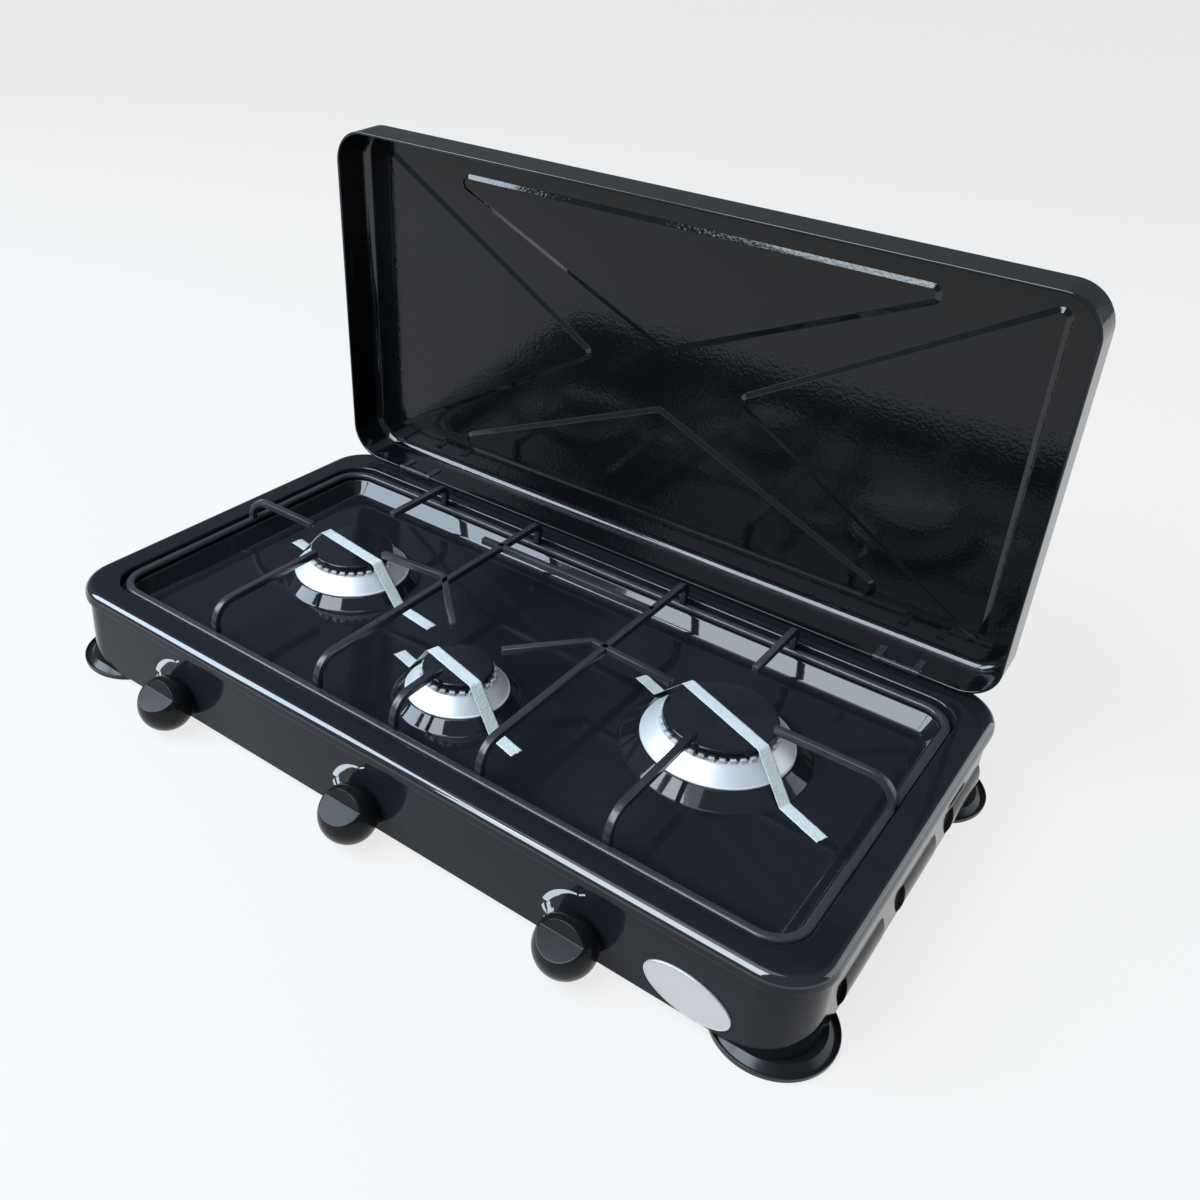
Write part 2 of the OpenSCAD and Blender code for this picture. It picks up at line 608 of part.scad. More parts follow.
// how far outside the dome a strip comes down, to its left and to its right
tape_land = [[3.6, 7.1], [1, 5.2], [1.2, 1.3]];
module tape(i) color(pale) placed() at_burner(i) {
  a = tape_ends[i][0];
  b = tape_ends[i][1];
  d = unit(b - a);
  aside = abs(a[0] * d[1] - a[1] * d[0]);
  mid = -a * d;
  over = sqrt(pow(cap_r[i], 2) - pow(max(0, aside - tape_w / 2), 2)) + tape_over;
  land = [for (k = [0, 1]) sqrt(pow(dome_r[i] + tape_land[i][k], 2) - pow(aside, 2))];
  l = norm(b - a);
  z = cap_z;
  f = floor_z + tape_gap;
  t = tape_t;
  translate([a[0], a[1], 0]) rotate([0, 0, atan2(d[1], d[0])])
    translate([0, tape_w / 2, 0]) rotate([90, 0, 0]) linear_extrude(tape_w)
      polygon([[0, f], [mid - land[0], f], [mid - over, z], [mid + over, z], [mid + land[1], f], [l, f],
        [l, f + t], [mid + land[1] + 0.2, f + t], [mid + over + 0.3, z + t], [mid - over - 0.3, z + t],
        [mid - land[0] - 0.2, f + t], [0, f + t]]);
}
module tape_l() tape(0);
module tape_c() tape(1);
module tape_r() tape(2);

// ---------------------------------------------------------------- gas train
// a tap's own frame: origin on the front panel, +Y into the cooker
module at_tap(i) translate([knob_x[i], -panel_y, knob_z]) children();
module along(u, l, r, fn) translate([0, u, 0]) rotate([-90, 0, 0]) cylinder(r = r, h = l, $fn = fn);

module gas_rail() color(steel) placed() difference() {
  rail_run(rail_r);
  rail_run(rail_bore);
  for (x = knob_x) translate([x, rail_y, rail_z - rail_r - 1]) cylinder(r = 2, h = rail_r, $fn = 24);
}
rail_end = knob_x[2] + 37;
elbow_x = nozzle_x + bend_r;
elbow_y = rail_y + bend_r;
tube_end = panel_y - 13;
module rail_run(r) {
  translate([elbow_x, rail_y, rail_z]) rotate([0, 90, 0]) cylinder(r = r, h = rail_end - elbow_x, $fn = 48);
  translate([elbow_x, elbow_y, rail_z]) rotate([0, 0, 180]) rotate_extrude(angle = 90, $fn = 48)
    translate([bend_r, 0]) circle(r = r, $fn = 48);
  translate([nozzle_x, elbow_y, rail_z]) rotate([-90, 0, 0]) cylinder(r = r, h = tube_end - elbow_y, $fn = 48);
}
module rail_plug() color(brass) placed() translate([rail_end, rail_y, rail_z]) rotate([0, 90, 0]) {
  translate([0, 0, -8]) cylinder(r = rail_bore, h = 8, $fn = 48);
  cylinder(r = 7.5, h = 5, $fn = 6);
}
// brass hose nozzle with three barbs, through the back panel; barbs are cones in one profile
module inlet_nozzle() color(brass) placed() translate([nozzle_x, tube_end, rail_z]) rotate([-90, 0, 0])
  difference() {
    union() {
      cylinder(r = 10, h = 8, $fn = 6);
      rotate_extrude($fn = 48)
        polygon(concat([[0, 0], [8, 0], [8, 15], [4.6, 15]],
          [for (k = [0:2]) each [[4.6, 16 + 5 * k], [6, 16.6 + 5 * k], [4.6, 20 + 5 * k]]], [[0, 31]]));
    }
    translate([0, 0, -1]) cylinder(r = 3, h = 40, $fn = 32);
  }
// brackets on the front panel that the rail rests on
bracket_x = [-110, 90];
bracket_t = 1.5;
module rail_brackets() color(steel) placed() for (x = bracket_x)
  translate([x - 9, -panel_y + sheet, rail_z - rail_r - bracket_t]) {
    cube([18, rail_y + panel_y + 4, bracket_t]);
    cube([18, bracket_t, 18]);
  }

clamp_x = 13;
clamp_t = 1.5;
clamp_r = rail_r + clamp_t + 0.1;
module tap_bodies() color(brass) placed() for (i = [0:2]) at_tap(i) difference() {
  union() {
    along(tap_u0, tap_len, tap_r, 64);
    translate([-12, tap_u0, -12]) cube([24, 3, 24]);
    translate([-9, port_u - 10, tap_r - 3.5]) cube([clamp_x + 13, 19, 7.5]);
  }
  along(tap_u0 - 1, plug_u + plug_len - tap_u0 + 1, plug_r + run_fit, 64);
  along(plug_u + plug_len - 1, 20, 2.5, 32);
  translate([0, port_u, 0]) cylinder(r = 2, h = 30, $fn = 24);
  translate([-30, port_u, rail_z - knob_z]) rotate([0, 90, 0]) cylinder(r = rail_r + push_fit, h = 60, $fn = 48);
  for (s = [-1, 1]) translate([clamp_x, port_u + s * clamp_r, 0]) cylinder(r = clamp_t + 0.2, h = 30, $fn = 24);
  for (sx = [-1, 1]) for (sz = [-1, 1]) translate([sx * 9, 0, sz * 9]) along(tap_u0 - 1, 5, 1.3, 24);
}
module tap_bonnets() color(steel) placed() for (i = [0:2]) at_tap(i) difference() {
  translate([-12, tap_u0 - 3, -12]) cube([24, 3, 24]);
  along(tap_u0 - 4, 5, spindle_r + run_fit, 48);
  for (sx = [-1, 1]) for (sz = [-1, 1]) translate([sx * 9, 0, sz * 9]) along(tap_u0 - 4, 5, 1.3, 24);
}
module bonnet_screws() color(steel) placed() for (i = [0:2]) at_tap(i)
  for (sx = [-1, 1]) for (sz = [-1, 1]) translate([sx * 9, 0, sz * 9]) {
    along(tap_u0 - 4.5, 1.5, 2.4, 24);
    along(tap_u0 - 3.5, 7, 1.3, 24);
  }
module tap_clamps() color(steel) placed() for (i = [0:2]) at_tap(i)
  translate([clamp_x, port_u, rail_z - knob_z]) {
    rotate([0, 0, 90]) rotate([90, 0, 0]) rotate_extrude(angle = 180, $fn = 48)
      translate([clamp_r, 0]) circle(r = clamp_t, $fn = 24);
    for (s = [-1, 1]) translate([0, s * clamp_r, -rail_r - 8]) cylinder(r = clamp_t, h = rail_r + 8, $fn = 24);
  }
module clamp_nuts() color(steel) placed() for (i = [0:2]) at_tap(i)
  for (s = [-1, 1]) translate([clamp_x, port_u + s * clamp_r, tap_r - 6]) difference() {
    cylinder(r = clamp_t + 1.7, h = 2.5, $fn = 6);
    translate([0, 0, -1]) cylinder(r = clamp_t + push_fit, h = 5, $fn = 24);
  }

// hexagonal injectors whose noses reach into the mixing tubes
module injectors() color(brass) placed() for (i = [0:2]) at_tap(i) difference() {
  union() {
    translate([0, tap_u0 + tap_len, 0]) rotate([-90, 0, 0]) cylinder(r = 5.5, h = 5, $fn = 6);
    along(tap_u0 + tap_len - 4, 4.5, 2.5, 32);
    along(tap_u0 + tap_len + 5, 5, 3.2, 32);
  }
  along(tap_u0 + tap_len - 5, 13, 1.2, 24);
  along(tap_u0 + tap_len - 5, 20, 0.5, 24);
}

// valve plug: slot in front for the spindle's tongue, side port and gas way behind
module tap_plug(i) color(brass) placed() at_tap(i) difference() {
  along(plug_u, plug_len, plug_r, 64);
  along(plug_u - 1, 7, tail_r + free_fit, 32);
  translate([-1.2, plug_u - 1, -4.2]) cube([2.4, 11, 8.4]);
  along(port_u - 1, 10, 2.2, 32);
  translate([0, port_u, 0]) rotate([0, 90, 0]) cylinder(r = 2, h = 10, $fn = 24);
}
module tap_plug_l() tap_plug(0);
module tap_plug_c() tap_plug(1);
module tap_plug_r() tap_plug(2);

// spindle: flatted front in the knob, shoulder behind the bonnet, tail with a tongue
spindle_front = 22;
module tap_spindle(i) color(steel) placed() at_tap(i) {
  difference() {
    along(-spindle_front, spindle_front + tap_u0 + 0.5, spindle_r, 48);
    translate([-10, -spindle_front - 1, 2.6]) cube([20, spindle_front - 4, 10]);
  }
  along(tap_u0, shoulder_t, 5.5, 48);
  along(tap_u0 + 1, plug_u + 2 - tap_u0 - 1, tail_r, 32);
  translate([-1, plug_u + 1, -4]) cube([2, 5, 8]);
}
module tap_spindle_l() tap_spindle(0);
module tap_spindle_c() tap_spindle(1);
module tap_spindle_r() tap_spindle(2);

// return spring drawn as separate turns between the washer and the plug
spring_wire = 0.4;
module tap_spring(i) color(steel) placed() at_tap(i) for (k = [0:2])
  translate([0, tap_u0 + shoulder_t + washer_t + 0.8 + 1.7 * k, 0]) rotate([-90, 0, 0])
    rotate_extrude($fn = 48) translate([tail_r + 1.1, 0]) circle(r = spring_wire, $fn = 16);
module tap_spring_l() tap_spring(0);
module tap_spring_c() tap_spring(1);
module tap_spring_r() tap_spring(2);

module tap_washer(i) color(steel) placed() at_tap(i) difference() {
  along(tap_u0 + shoulder_t, washer_t, 5.7, 48);
  along(tap_u0 + 1, 4, tail_r + run_fit, 32);
}
module tap_washer_l() tap_washer(0);
module tap_washer_c() tap_washer(1);
module tap_washer_r() tap_washer(2);

// ---------------------------------------------------------------- knobs and badge
// rounded knob with a finger notch cut by two flats above its middle
module knob(i) color(rubber) placed() at_tap(i) difference() {
  translate([0, -knob_mid, 0]) rotate([90, 0, 0]) rotate_extrude($fn = 96)
    polygon(concat([[0, knob_back - knob_mid]], arc(0, 0, knob_r, -asin((knob_mid - knob_back) / knob_r), 90, 20)));
  translate([-50, -knob_mid, 0]) rotate([90, 0, 90]) linear_extrude(100)
    polygon([[-5.5, 13], [2.6, 35], [-42, 35], [-42, -5.3]]);
  difference() {
    along(-spindle_front, spindle_front, spindle_r + push_fit, 48);
    translate([-10, -spindle_front - 1, 2.6 + push_fit]) cube([20, spindle_front - 4, 10]);
  }
}
module knob_left() knob(0);
module knob_centre() knob(1);
module knob_right() knob(2);

// blank oval badge with a raised rim, set a little askew
module at_badge() translate([badge_x, -panel_y, badge_z]) rotate([0, -badge_tilt, 0]) children();
module badge_pin_place(s) at_badge() translate([s * badge_pin, 0, 0]) children();
module badge() color(alu) placed() at_badge() rotate([90, 0, 0]) difference() {
  linear_extrude(badge_t) scale([badge_rx, badge_rz]) circle(r = 1, $fn = 96);
  translate([0, 0, badge_t - 0.4]) linear_extrude(2)
    scale([badge_rx - badge_rim, badge_rz - badge_rim]) circle(r = 1, $fn = 96);
}
module badge_pins() color(alu) placed() for (s = [-1, 1]) badge_pin_place(s) along(0, 4, pin_hole_r, 24);

casing();
corner_gussets();
foot_fl();
foot_fr();
foot_bl();
foot_br();
foot_screws();
lid_panel();
lid_lugs();
hinge_pins();
hinge_knuckles();
lid_stops();
grid_ring();
grid_bars();
grid_fingers();
grid_buffers();
burner_cup_l();
burner_cup_c();
burner_cup_r();
burner_screws();
burner_head_l();
burner_head_c();
burner_head_r();
burner_cap_l();
burner_cap_c();
burner_cap_r();
tape_l();
tape_c();
tape_r();
injectors();
gas_rail();
inlet_nozzle();
rail_plug();
rail_brackets();
tap_bodies();
tap_bonnets();
bonnet_screws();
tap_clamps();
clamp_nuts();
tap_plug_l();
tap_plug_c();
tap_plug_r();
tap_spindle_l();
tap_spindle_c();
tap_spindle_r();
tap_spring_l();
tap_spring_c();
tap_spring_r();
tap_washer_l();
tap_washer_c();
tap_washer_r();
knob_left();
knob_centre();
knob_right();
badge();
badge_pins();
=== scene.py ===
import json
import math
import bpy
import bmesh
from mathutils import Matrix, Vector, noise


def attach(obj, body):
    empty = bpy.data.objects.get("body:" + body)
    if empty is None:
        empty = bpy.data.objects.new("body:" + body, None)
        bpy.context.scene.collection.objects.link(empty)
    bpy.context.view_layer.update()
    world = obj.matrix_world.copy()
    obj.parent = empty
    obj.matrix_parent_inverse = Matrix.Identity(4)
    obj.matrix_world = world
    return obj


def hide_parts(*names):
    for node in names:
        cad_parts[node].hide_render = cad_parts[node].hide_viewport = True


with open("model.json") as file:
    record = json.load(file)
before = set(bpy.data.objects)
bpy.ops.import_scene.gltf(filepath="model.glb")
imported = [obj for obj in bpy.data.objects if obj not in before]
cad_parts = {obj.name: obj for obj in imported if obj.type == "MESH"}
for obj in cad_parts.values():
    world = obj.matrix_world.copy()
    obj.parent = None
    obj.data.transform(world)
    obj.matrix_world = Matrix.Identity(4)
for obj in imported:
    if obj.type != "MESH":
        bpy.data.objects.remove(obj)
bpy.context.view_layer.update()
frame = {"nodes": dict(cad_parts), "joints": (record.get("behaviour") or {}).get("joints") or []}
nodes = frame["nodes"]

MM = 0.001
# sizes in millimetres and angles in degrees, as in the part's source
HALF_L, HALF_D, CORNER_R = 330.0, 176.0, 38.0
PANEL_IN = 3.0
PANEL_Y, PANEL_X = HALF_D - PANEL_IN, HALF_L - PANEL_IN
RIM_Z, LEDGE_Z, FLOOR_Z, SKIRT_Z = 76.0, 67.5, 55.0, 7.0
WELL_HX, WELL_HY, WELL_R, WELL_Y = 306.5, 148.5, 27.0, -5.5
HEAD_Z, CROWN_Z, CAP_Z = 64.0, 79.5, 85.0
PORT_H, PORT_W, CROWN_OUT, CROWN_W = 3.0, 2.8, 2.0, 4.0
SPIGOT_R, SPIGOT_BORE, PLAY = 19.6, 16.6, 0.4
KNOB_Z, KNOB_R, KNOB_MID, KNOB_BACK = 24.5, 21.5, 14.5, 3.5
BAR_Z, BAR_W = 93.0, 5.5
RING_Z, RING_T, RING_W = 68.5, 5.0, 7.0
RING_HX, RING_HY, RING_R, RING_CY = 305.5, 144.5, 27.5, -5.0
LID_L, LID_D, LID_R, LID_TOP, LID_EDGE = 644.0, 317.5, 30.0, 115.5, 77.5
LID_BACK, HINGE_Y, HINGE_Z, LID_OPEN = 160.5, 160.0, 80.0, 86.0
PRESS = 1.8
BURNERS = {
    "left": dict(x=-185.5, y=7.5, cap=35.0, head=49.0, dome=58.0, ports=30, tag="l"),
    "centre": dict(x=-8.0, y=-67.0, cap=26.8, head=39.5, dome=49.0, ports=24, tag="c"),
    "right": dict(x=172.5, y=7.5, cap=42.0, head=56.5, dome=70.0, ports=36, tag="r"),
}
KNOB_X = {"left": -197.5, "centre": -6.0, "right": 177.0}
VENT_Y, VENT_Z = (-82.0, 14.0, 110.0), 25.0
VENT_W, VENT_H, VENT_OUT = 60.0, 26.0, 3.0
HINGE_X = 245.0
NOZZLE_X, NOZZLE_Z = -262.0, 41.0
FOOT_X, FOOT_Y, FOOT_R = 298.5, 139.0, 41.0
BADGE_X, BADGE_Z, BADGE_RX, BADGE_RZ, BADGE_TILT = 254.6, 25.5, 30.5, 16.1, -9.0

HINGE = next(j for j in frame["joints"] if j["name"] == "lid_hinge")["pos_m"]
SHIFT = HINGE[1] / MM - HINGE_Y  # the row frame's Y of the cooker's own middle
GLAZE = "glaze"  # the point attribute that says how wet the enamel looks


# ------------------------------------------------------------------ shader writing
class Value:
    """A shader socket that can be used in plain arithmetic."""

    def __init__(self, paint, socket):
        self.paint, self.socket = paint, socket

    def _math(self, operation, *others):
        return self.paint.node("ShaderNodeMath", dict(operation=operation), [self, *others])

    def __add__(self, other): return self._math("ADD", other)
    def __radd__(self, other): return self._math("ADD", other)
    def __sub__(self, other): return self._math("SUBTRACT", other)
    def __rsub__(self, other): return self.paint.constant(other)._math("SUBTRACT", self)
    def __mul__(self, other): return self._math("MULTIPLY", other)
    def __pow__(self, other): return self._math("POWER", other)

    def above(self, edge, soft):
        """0 below the edge, 1 above it, over a soft width."""
        return self.paint.node("ShaderNodeMapRange", dict(clamp=True),
                               [self, edge - soft, edge + soft, 0.0, 1.0])


class Finish:
    """One material: a Principled shader and the nodes that feed it."""

    def __init__(self, name, **fixed):
        self.material = bpy.data.materials.new(name)
        self.material.use_nodes = True
        self.tree = self.material.node_tree
        self.shader = self.tree.nodes["Principled BSDF"]
        for key, value in fixed.items():
            self.set(key.replace("_", " "), value)

    def set(self, socket, value):
        target = self.shader.inputs[socket]
        if isinstance(value, Value):
            self.tree.links.new(value.socket, target)
        elif isinstance(value, tuple) and len(value) == 3:
            target.default_value = (*value, 1.0) if target.type == "RGBA" else value
        else:
            target.default_value = value

    def node(self, kind, settings=None, inputs=(), out=0):
        """A node of that type: its settings first, then the values or links of its sockets."""
        made = self.tree.nodes.new(kind)
        for key, value in (settings or {}).items():
            setattr(made, key, value)
        pairs = inputs.items() if isinstance(inputs, dict) else enumerate(inputs)
        for key, value in pairs:
            if isinstance(value, Value):
                self.tree.links.new(value.socket, made.inputs[key])
            elif isinstance(value, tuple) and made.inputs[key].type == "RGBA":
                made.inputs[key].default_value = (*value, 1.0)
            else:
                made.inputs[key].default_value = value
        return Value(self, made.outputs[out])

    def constant(self, number):
        return self.node("ShaderNodeMath", dict(operation="ADD"), [number, 0.0])

    def place(self, scale=(1.0, 1.0, 1.0), location=(0.0, 0.0, 0.0)):
        """The piece's own coordinates, scaled and moved."""
        where = self.node("ShaderNodeTexCoord", out="Object")
        return self.node("ShaderNodeMapping", {}, {"Vector": where, "Scale": scale, "Location": location})

    def grain(self, scale, detail, rough, stretch=(1.0, 1.0, 1.0)):
        return self.node("ShaderNodeTexNoise", {}, {"Vector": self.place(stretch), "Scale": scale,
                                                    "Detail": detail, "Roughness": rough})

    def cells(self, scale, feature="F1"):
        return self.node("ShaderNodeTexVoronoi", dict(feature=feature),
                         {"Vector": self.place(), "Scale": scale})

    def blend(self, amount, low, high):
        return self.node("ShaderNodeMix", dict(data_type="RGBA"), {0: amount, 6: low, 7: high}, out=2)

    def bump(self, height, strength, distance):
        return self.node("ShaderNodeBump", {}, {"Height": height, "Strength": strength, "Distance": distance})


def gloss_enamel(name, base, shine, peel, peel_depth, roughness):
    """Fired black enamel, wettest on its bends, with a faint orange peel, dust and wiping haze."""
    f = Finish(name, IOR=1.5, Specular_IOR_Level=shine, Coat_Roughness=0.03, Coat_IOR=1.7)
    haze = f.grain(9.0, 4.0, 0.6)
    dust = f.cells(900.0).above(0.085, 0.03)
    patch = f.grain(60.0, 3.0, 0.6).above(0.6, 0.1)
    speck = (1.0 - dust) * patch
    colour = f.blend(haze * 0.6, base, tuple(c * 1.8 for c in base))
    f.set("Base Color", f.blend(speck * 0.15, colour, (0.25, 0.26, 0.27)))
    f.set("Roughness", roughness + haze * 0.05 + speck * 0.25)
    glaze = f.node("ShaderNodeAttribute", dict(attribute_name=GLAZE), out="Fac")
    f.set("Coat Weight", glaze * (0.95 - speck * 0.3) + 0.03)
    pores = f.grain(peel, 1.5, 0.45)
    broad = f.grain(14.0, 1.0, 0.4)
    f.set("Normal", f.bump(pores + broad * 0.5, 1.0, peel_depth))
    return f.material


def satin_black(name, base, roughness, grain_scale, depth, specks=0.0, shine=0.35):
    """Matt to satin black with a fine grain and, where asked for, pale specks."""
    f = Finish(name, IOR=1.48, Specular_IOR_Level=shine)
    cloud = f.grain(22.0, 4.0, 0.6)
    fine = f.grain(grain_scale, 3.0, 0.6)
    colour = f.blend(cloud, base, tuple(c * 1.8 for c in base))
    if specks:
        away = f.cells(grain_scale * 0.5).above(0.16, 0.05)
        fleck = (1.0 - away) * f.grain(90.0, 2.0, 0.5).above(0.5, 0.12)
        colour = f.blend(fleck * specks, colour, (0.45, 0.46, 0.47))
    f.set("Base Color", colour)
    f.set("Roughness", roughness + (cloud - 0.5) * 0.14 + (fine - 0.5) * 0.1)
    f.set("Normal", f.bump(fine, 0.6, depth))
    return f.material


def turned_aluminium(name, centre):
    """Aluminium turned on a lathe: fine rings round the burner's axis."""
    f = Finish(name, Metallic=0.5)
    at = f.place(location=(-centre[0], -centre[1], 0.0))
    parts = f.tree.nodes.new("ShaderNodeSeparateXYZ")
    f.tree.links.new(at.socket, parts.inputs[0])
    x, y, z = (Value(f, parts.outputs[k]) for k in range(3))
    radius = (x * x + y * y) ** 0.5
    line = f.node("ShaderNodeCombineXYZ", {}, [radius * 2600.0, z * 900.0, x * 25.0])
    rings = f.node("ShaderNodeTexNoise", {}, {"Vector": line, "Scale": 1.0, "Detail": 3.0})
    cloud = f.grain(35.0, 4.0, 0.6)
    stain = f.grain(120.0, 3.0, 0.7).above(0.62, 0.06)
    f.set("Base Color", f.blend(rings * 0.5 + cloud * 0.3, (0.78, 0.80, 0.82), (0.60, 0.62, 0.64)))
    f.set("Roughness", 0.30 + rings * 0.12 + cloud * 0.08 + stain * 0.06)
    f.set("Normal", f.bump(rings, 0.35, 0.00004))
    return f.material


def plain_metal(name, light, dark, roughness, scale):
    """Plated or machined metal with drawn streaks and tarnish."""
    f = Finish(name, Metallic=1.0)
    streak = f.grain(scale, 4.0, 0.6, stretch=(0.15, 1.0, 1.0))
    tarnish = f.grain(scale * 0.12, 4.0, 0.65)
    f.set("Base Color", f.blend(tarnish, light, dark))
    f.set("Roughness", roughness + streak * 0.16 + tarnish * 0.1)
    f.set("Normal", f.bump(streak, 0.4, 0.00006))
    return f.material


def cast_metal(name, light, dark):
    """Sand-cast aluminium: pitted and dull."""
    f = Finish(name, Metallic=1.0)
    pits = f.grain(700.0, 5.0, 0.7)
    cloud = f.grain(40.0, 3.0, 0.6)
    f.set("Base Color", f.blend(cloud, light, dark))
    f.set("Roughness", 0.45 + pits * 0.25)
    f.set("Normal", f.bump(pits, 0.8, 0.0002))
    return f.material


def brushed_plate(name):
    """Brushed silver plate, blank."""
    f = Finish(name, Metallic=0.7)
    strokes = f.grain(1600.0, 3.0, 0.6, stretch=(0.04, 1.0, 1.0))
    cloud = f.grain(60.0, 2.0, 0.5)
    f.set("Base Color", f.blend(strokes * 0.6 + cloud * 0.3, (0.62, 0.63, 0.64), (0.46, 0.47, 0.49)))
    f.set("Roughness", 0.30 + strokes * 0.15)
    f.set("Normal", f.bump(strokes, 0.3, 0.00003))
    return f.material


def crinkled_tape(name):
    """Thin pale film with short creases and fibres."""
    f = Finish(name, Specular_IOR_Level=0.4)
    crease = f.cells(420.0, feature="DISTANCE_TO_EDGE")
    fibre = f.grain(900.0, 4.0, 0.7, stretch=(0.5, 1.0, 1.0))
    cloud = f.grain(160.0, 3.0, 0.6)
    f.set("Base Color", f.blend(cloud * 0.7 + fibre * 0.3, (0.42, 0.46, 0.46), (0.58, 0.61, 0.60)))
    f.set("Roughness", 0.48 + fibre * 0.2)
    f.set("Normal", f.bump(fibre * 0.6 + crease * 2.0 + cloud, 0.7, 0.0004))
    return f.material


def printed_ink(name):
    """Screen-printed pale grey ink, a little thin in places."""
    f = Finish(name)
    thin = f.grain(500.0, 4.0, 0.7)
    f.set("Base Color", f.blend(thin * 0.5, (0.46, 0.48, 0.48), (0.33, 0.34, 0.34)))
    f.set("Roughness", 0.35 + thin * 0.15)
    f.set("Normal", f.bump(thin, 0.4, 0.00005))
    return f.material


ENAMEL = gloss_enamel("casing_enamel", (0.0065, 0.0077, 0.0100), shine=0.15, peel=420.0,
                      peel_depth=0.00004, roughness=0.045)
LID_ENAMEL = gloss_enamel("lid_enamel", (0.0026, 0.0031, 0.0040), shine=0.28, peel=380.0,
                          peel_depth=0.00010, roughness=0.05)
HINGE_ENAMEL = satin_black("hinge_enamel", (0.012, 0.013, 0.015), 0.25, 1400.0, 0.00008, specks=0.5)
GRID_ENAMEL = satin_black("grid_enamel", (0.018, 0.019, 0.022), 0.22, 1200.0, 0.00010, specks=0.10, shine=0.5)
CAP_ENAMEL = satin_black("cap_enamel", (0.005, 0.006, 0.008), 0.11, 1500.0, 0.00003, specks=0.12, shine=0.38)
KNOB_PLASTIC = satin_black("knob_plastic", (0.004, 0.0043, 0.005), 0.17, 2200.0, 0.00003, shine=0.2)
RUBBER = satin_black("foot_rubber", (0.006, 0.006, 0.007), 0.22, 900.0, 0.00006)
PLATED = plain_metal("plated_steel", (0.66, 0.67, 0.68), (0.50, 0.50, 0.50), 0.24, 900.0)
BRASS = plain_metal("machined_brass", (0.72, 0.54, 0.26), (0.52, 0.38, 0.18), 0.26, 800.0)
CAST = cast_metal("cast_aluminium", (0.60, 0.61, 0.62), (0.45, 0.46, 0.47))
PLATE = brushed_plate("badge_plate")
TAPE = crinkled_tape("transit_tape")
INK = printed_ink("panel_ink")


# ------------------------------------------------------------------ mesh making
def at_mm(x, y, z):
    """A point of the cooker, in millimetres, in the row frame."""
    return Vector((x, y + SHIFT, z)) * MM


def to_lid(x, y, z):
    """A point of the shut lid, in millimetres, where the open lid has it."""
    turned = Matrix.Rotation(math.radians(-LID_OPEN), 3, "X") @ Vector((x, y - HINGE_Y, z - HINGE_Z))
    return at_mm(turned.x, turned.y + HINGE_Y, turned.z + HINGE_Z)


def soften(corners, steps=6):
    """A line of (across, up, fillet) corners as points, with each fillet an arc."""
    place = [Vector(c[:2]) for c in corners]
    reach = [0.0] * len(corners)
    for i in range(1, len(corners) - 1):
        half = (place[i - 1] - place[i]).angle(place[i + 1] - place[i]) / 2
        reach[i] = corners[i][2] / math.tan(half)
    for i in range(len(corners) - 1):  # two fillets share the straight between them
        fit = min(1.0, 0.98 * (place[i + 1] - place[i]).length / max(reach[i] + reach[i + 1], 1e-9))
        reach[i] *= fit
        reach[i + 1] *= fit
    out = []
    for i, here in enumerate(place):
        if reach[i] < 1e-6:
            out.append(tuple(here))
            continue
        u, v = (place[i - 1] - here).normalized(), (place[i + 1] - here).normalized()
        half = u.angle(v) / 2
        r = reach[i] * math.tan(half)
        centre = here + (u + v).normalized() * r / math.sin(half)
        start, end = here + u * reach[i] - centre, here + v * reach[i] - centre
        for k in range(steps + 1):
            t = k / steps
            mid = start.lerp(end, t)
            out.append(tuple(centre + mid.normalized() * r))
    return out


def oblong(hx, hy, r, cy=0.0, steps=12):
    """Round-cornered rectangle as points in a plan or section, counter-clockwise."""
    out = []
    for quarter, (sx, sy) in enumerate(((1, 1), (-1, 1), (-1, -1), (1, -1))):
        for k in range(steps + 1):
            a = math.radians(90 * quarter + 90 * k / steps)
            out.append((sx * (hx - r) + r * math.cos(a), cy + sy * (hy - r) + r * math.sin(a)))
    return out


def add_loop(bm, points, where):
    """New vertices at these points, placed by at_mm or to_lid."""
    return [bm.verts.new(where(*p)) for p in points]


def skin(bm, loops, closed=True, shut=False):
    """Quads between loops of equal length; shut joins the last loop to the first."""
    pairs = list(zip(loops, loops[1:])) + ([(loops[-1], loops[0])] if shut else [])
    for a, b in pairs:
        n = len(a)
        for i in range(n if closed else n - 1):
            j = (i + 1) % n
            quad = [a[i], a[j], b[j], b[i]]
            if len(set(quad)) == 4:
                bm.faces.new(quad)


def close(bm, loops):
    """Quads between loops, and a face on each end."""
    skin(bm, loops)
    bm.faces.new(loops[0])
    bm.faces.new(loops[-1])


def fill_flat(bm, *loops):
    """Fills a flat region bounded by loops, the first outside and the rest holes."""
    edges = []
    for loop in loops:
        for i in range(len(loop)):
            pair = (loop[i], loop[(i + 1) % len(loop)])
            edges.append(bm.edges.get(pair) or bm.edges.new(pair))
    bmesh.ops.triangle_fill(bm, use_beauty=True, use_dissolve=False, edges=edges)


def link_mesh(name, bm):
    """A new object in the scene that holds the mesh."""
    mesh = bpy.data.meshes.new(name)
    bm.to_mesh(mesh)
    bm.free()
    obj = bpy.data.objects.new(name, mesh)
    bpy.context.scene.collection.objects.link(obj)
    return obj


def shade_smooth(mesh, crease):
    """Smooth faces, with edges sharper than crease degrees kept sharp."""
    for face in mesh.polygons:
        face.use_smooth = True
    mesh.set_sharp_from_angle(angle=math.radians(crease))


def weigh_normals(obj):
    """Keeps flat faces flat beside their rounded edges."""
    keep = obj.modifiers.new("weigh", "WEIGHTED_NORMAL")
    keep.keep_sharp = True
    keep.weight = 100


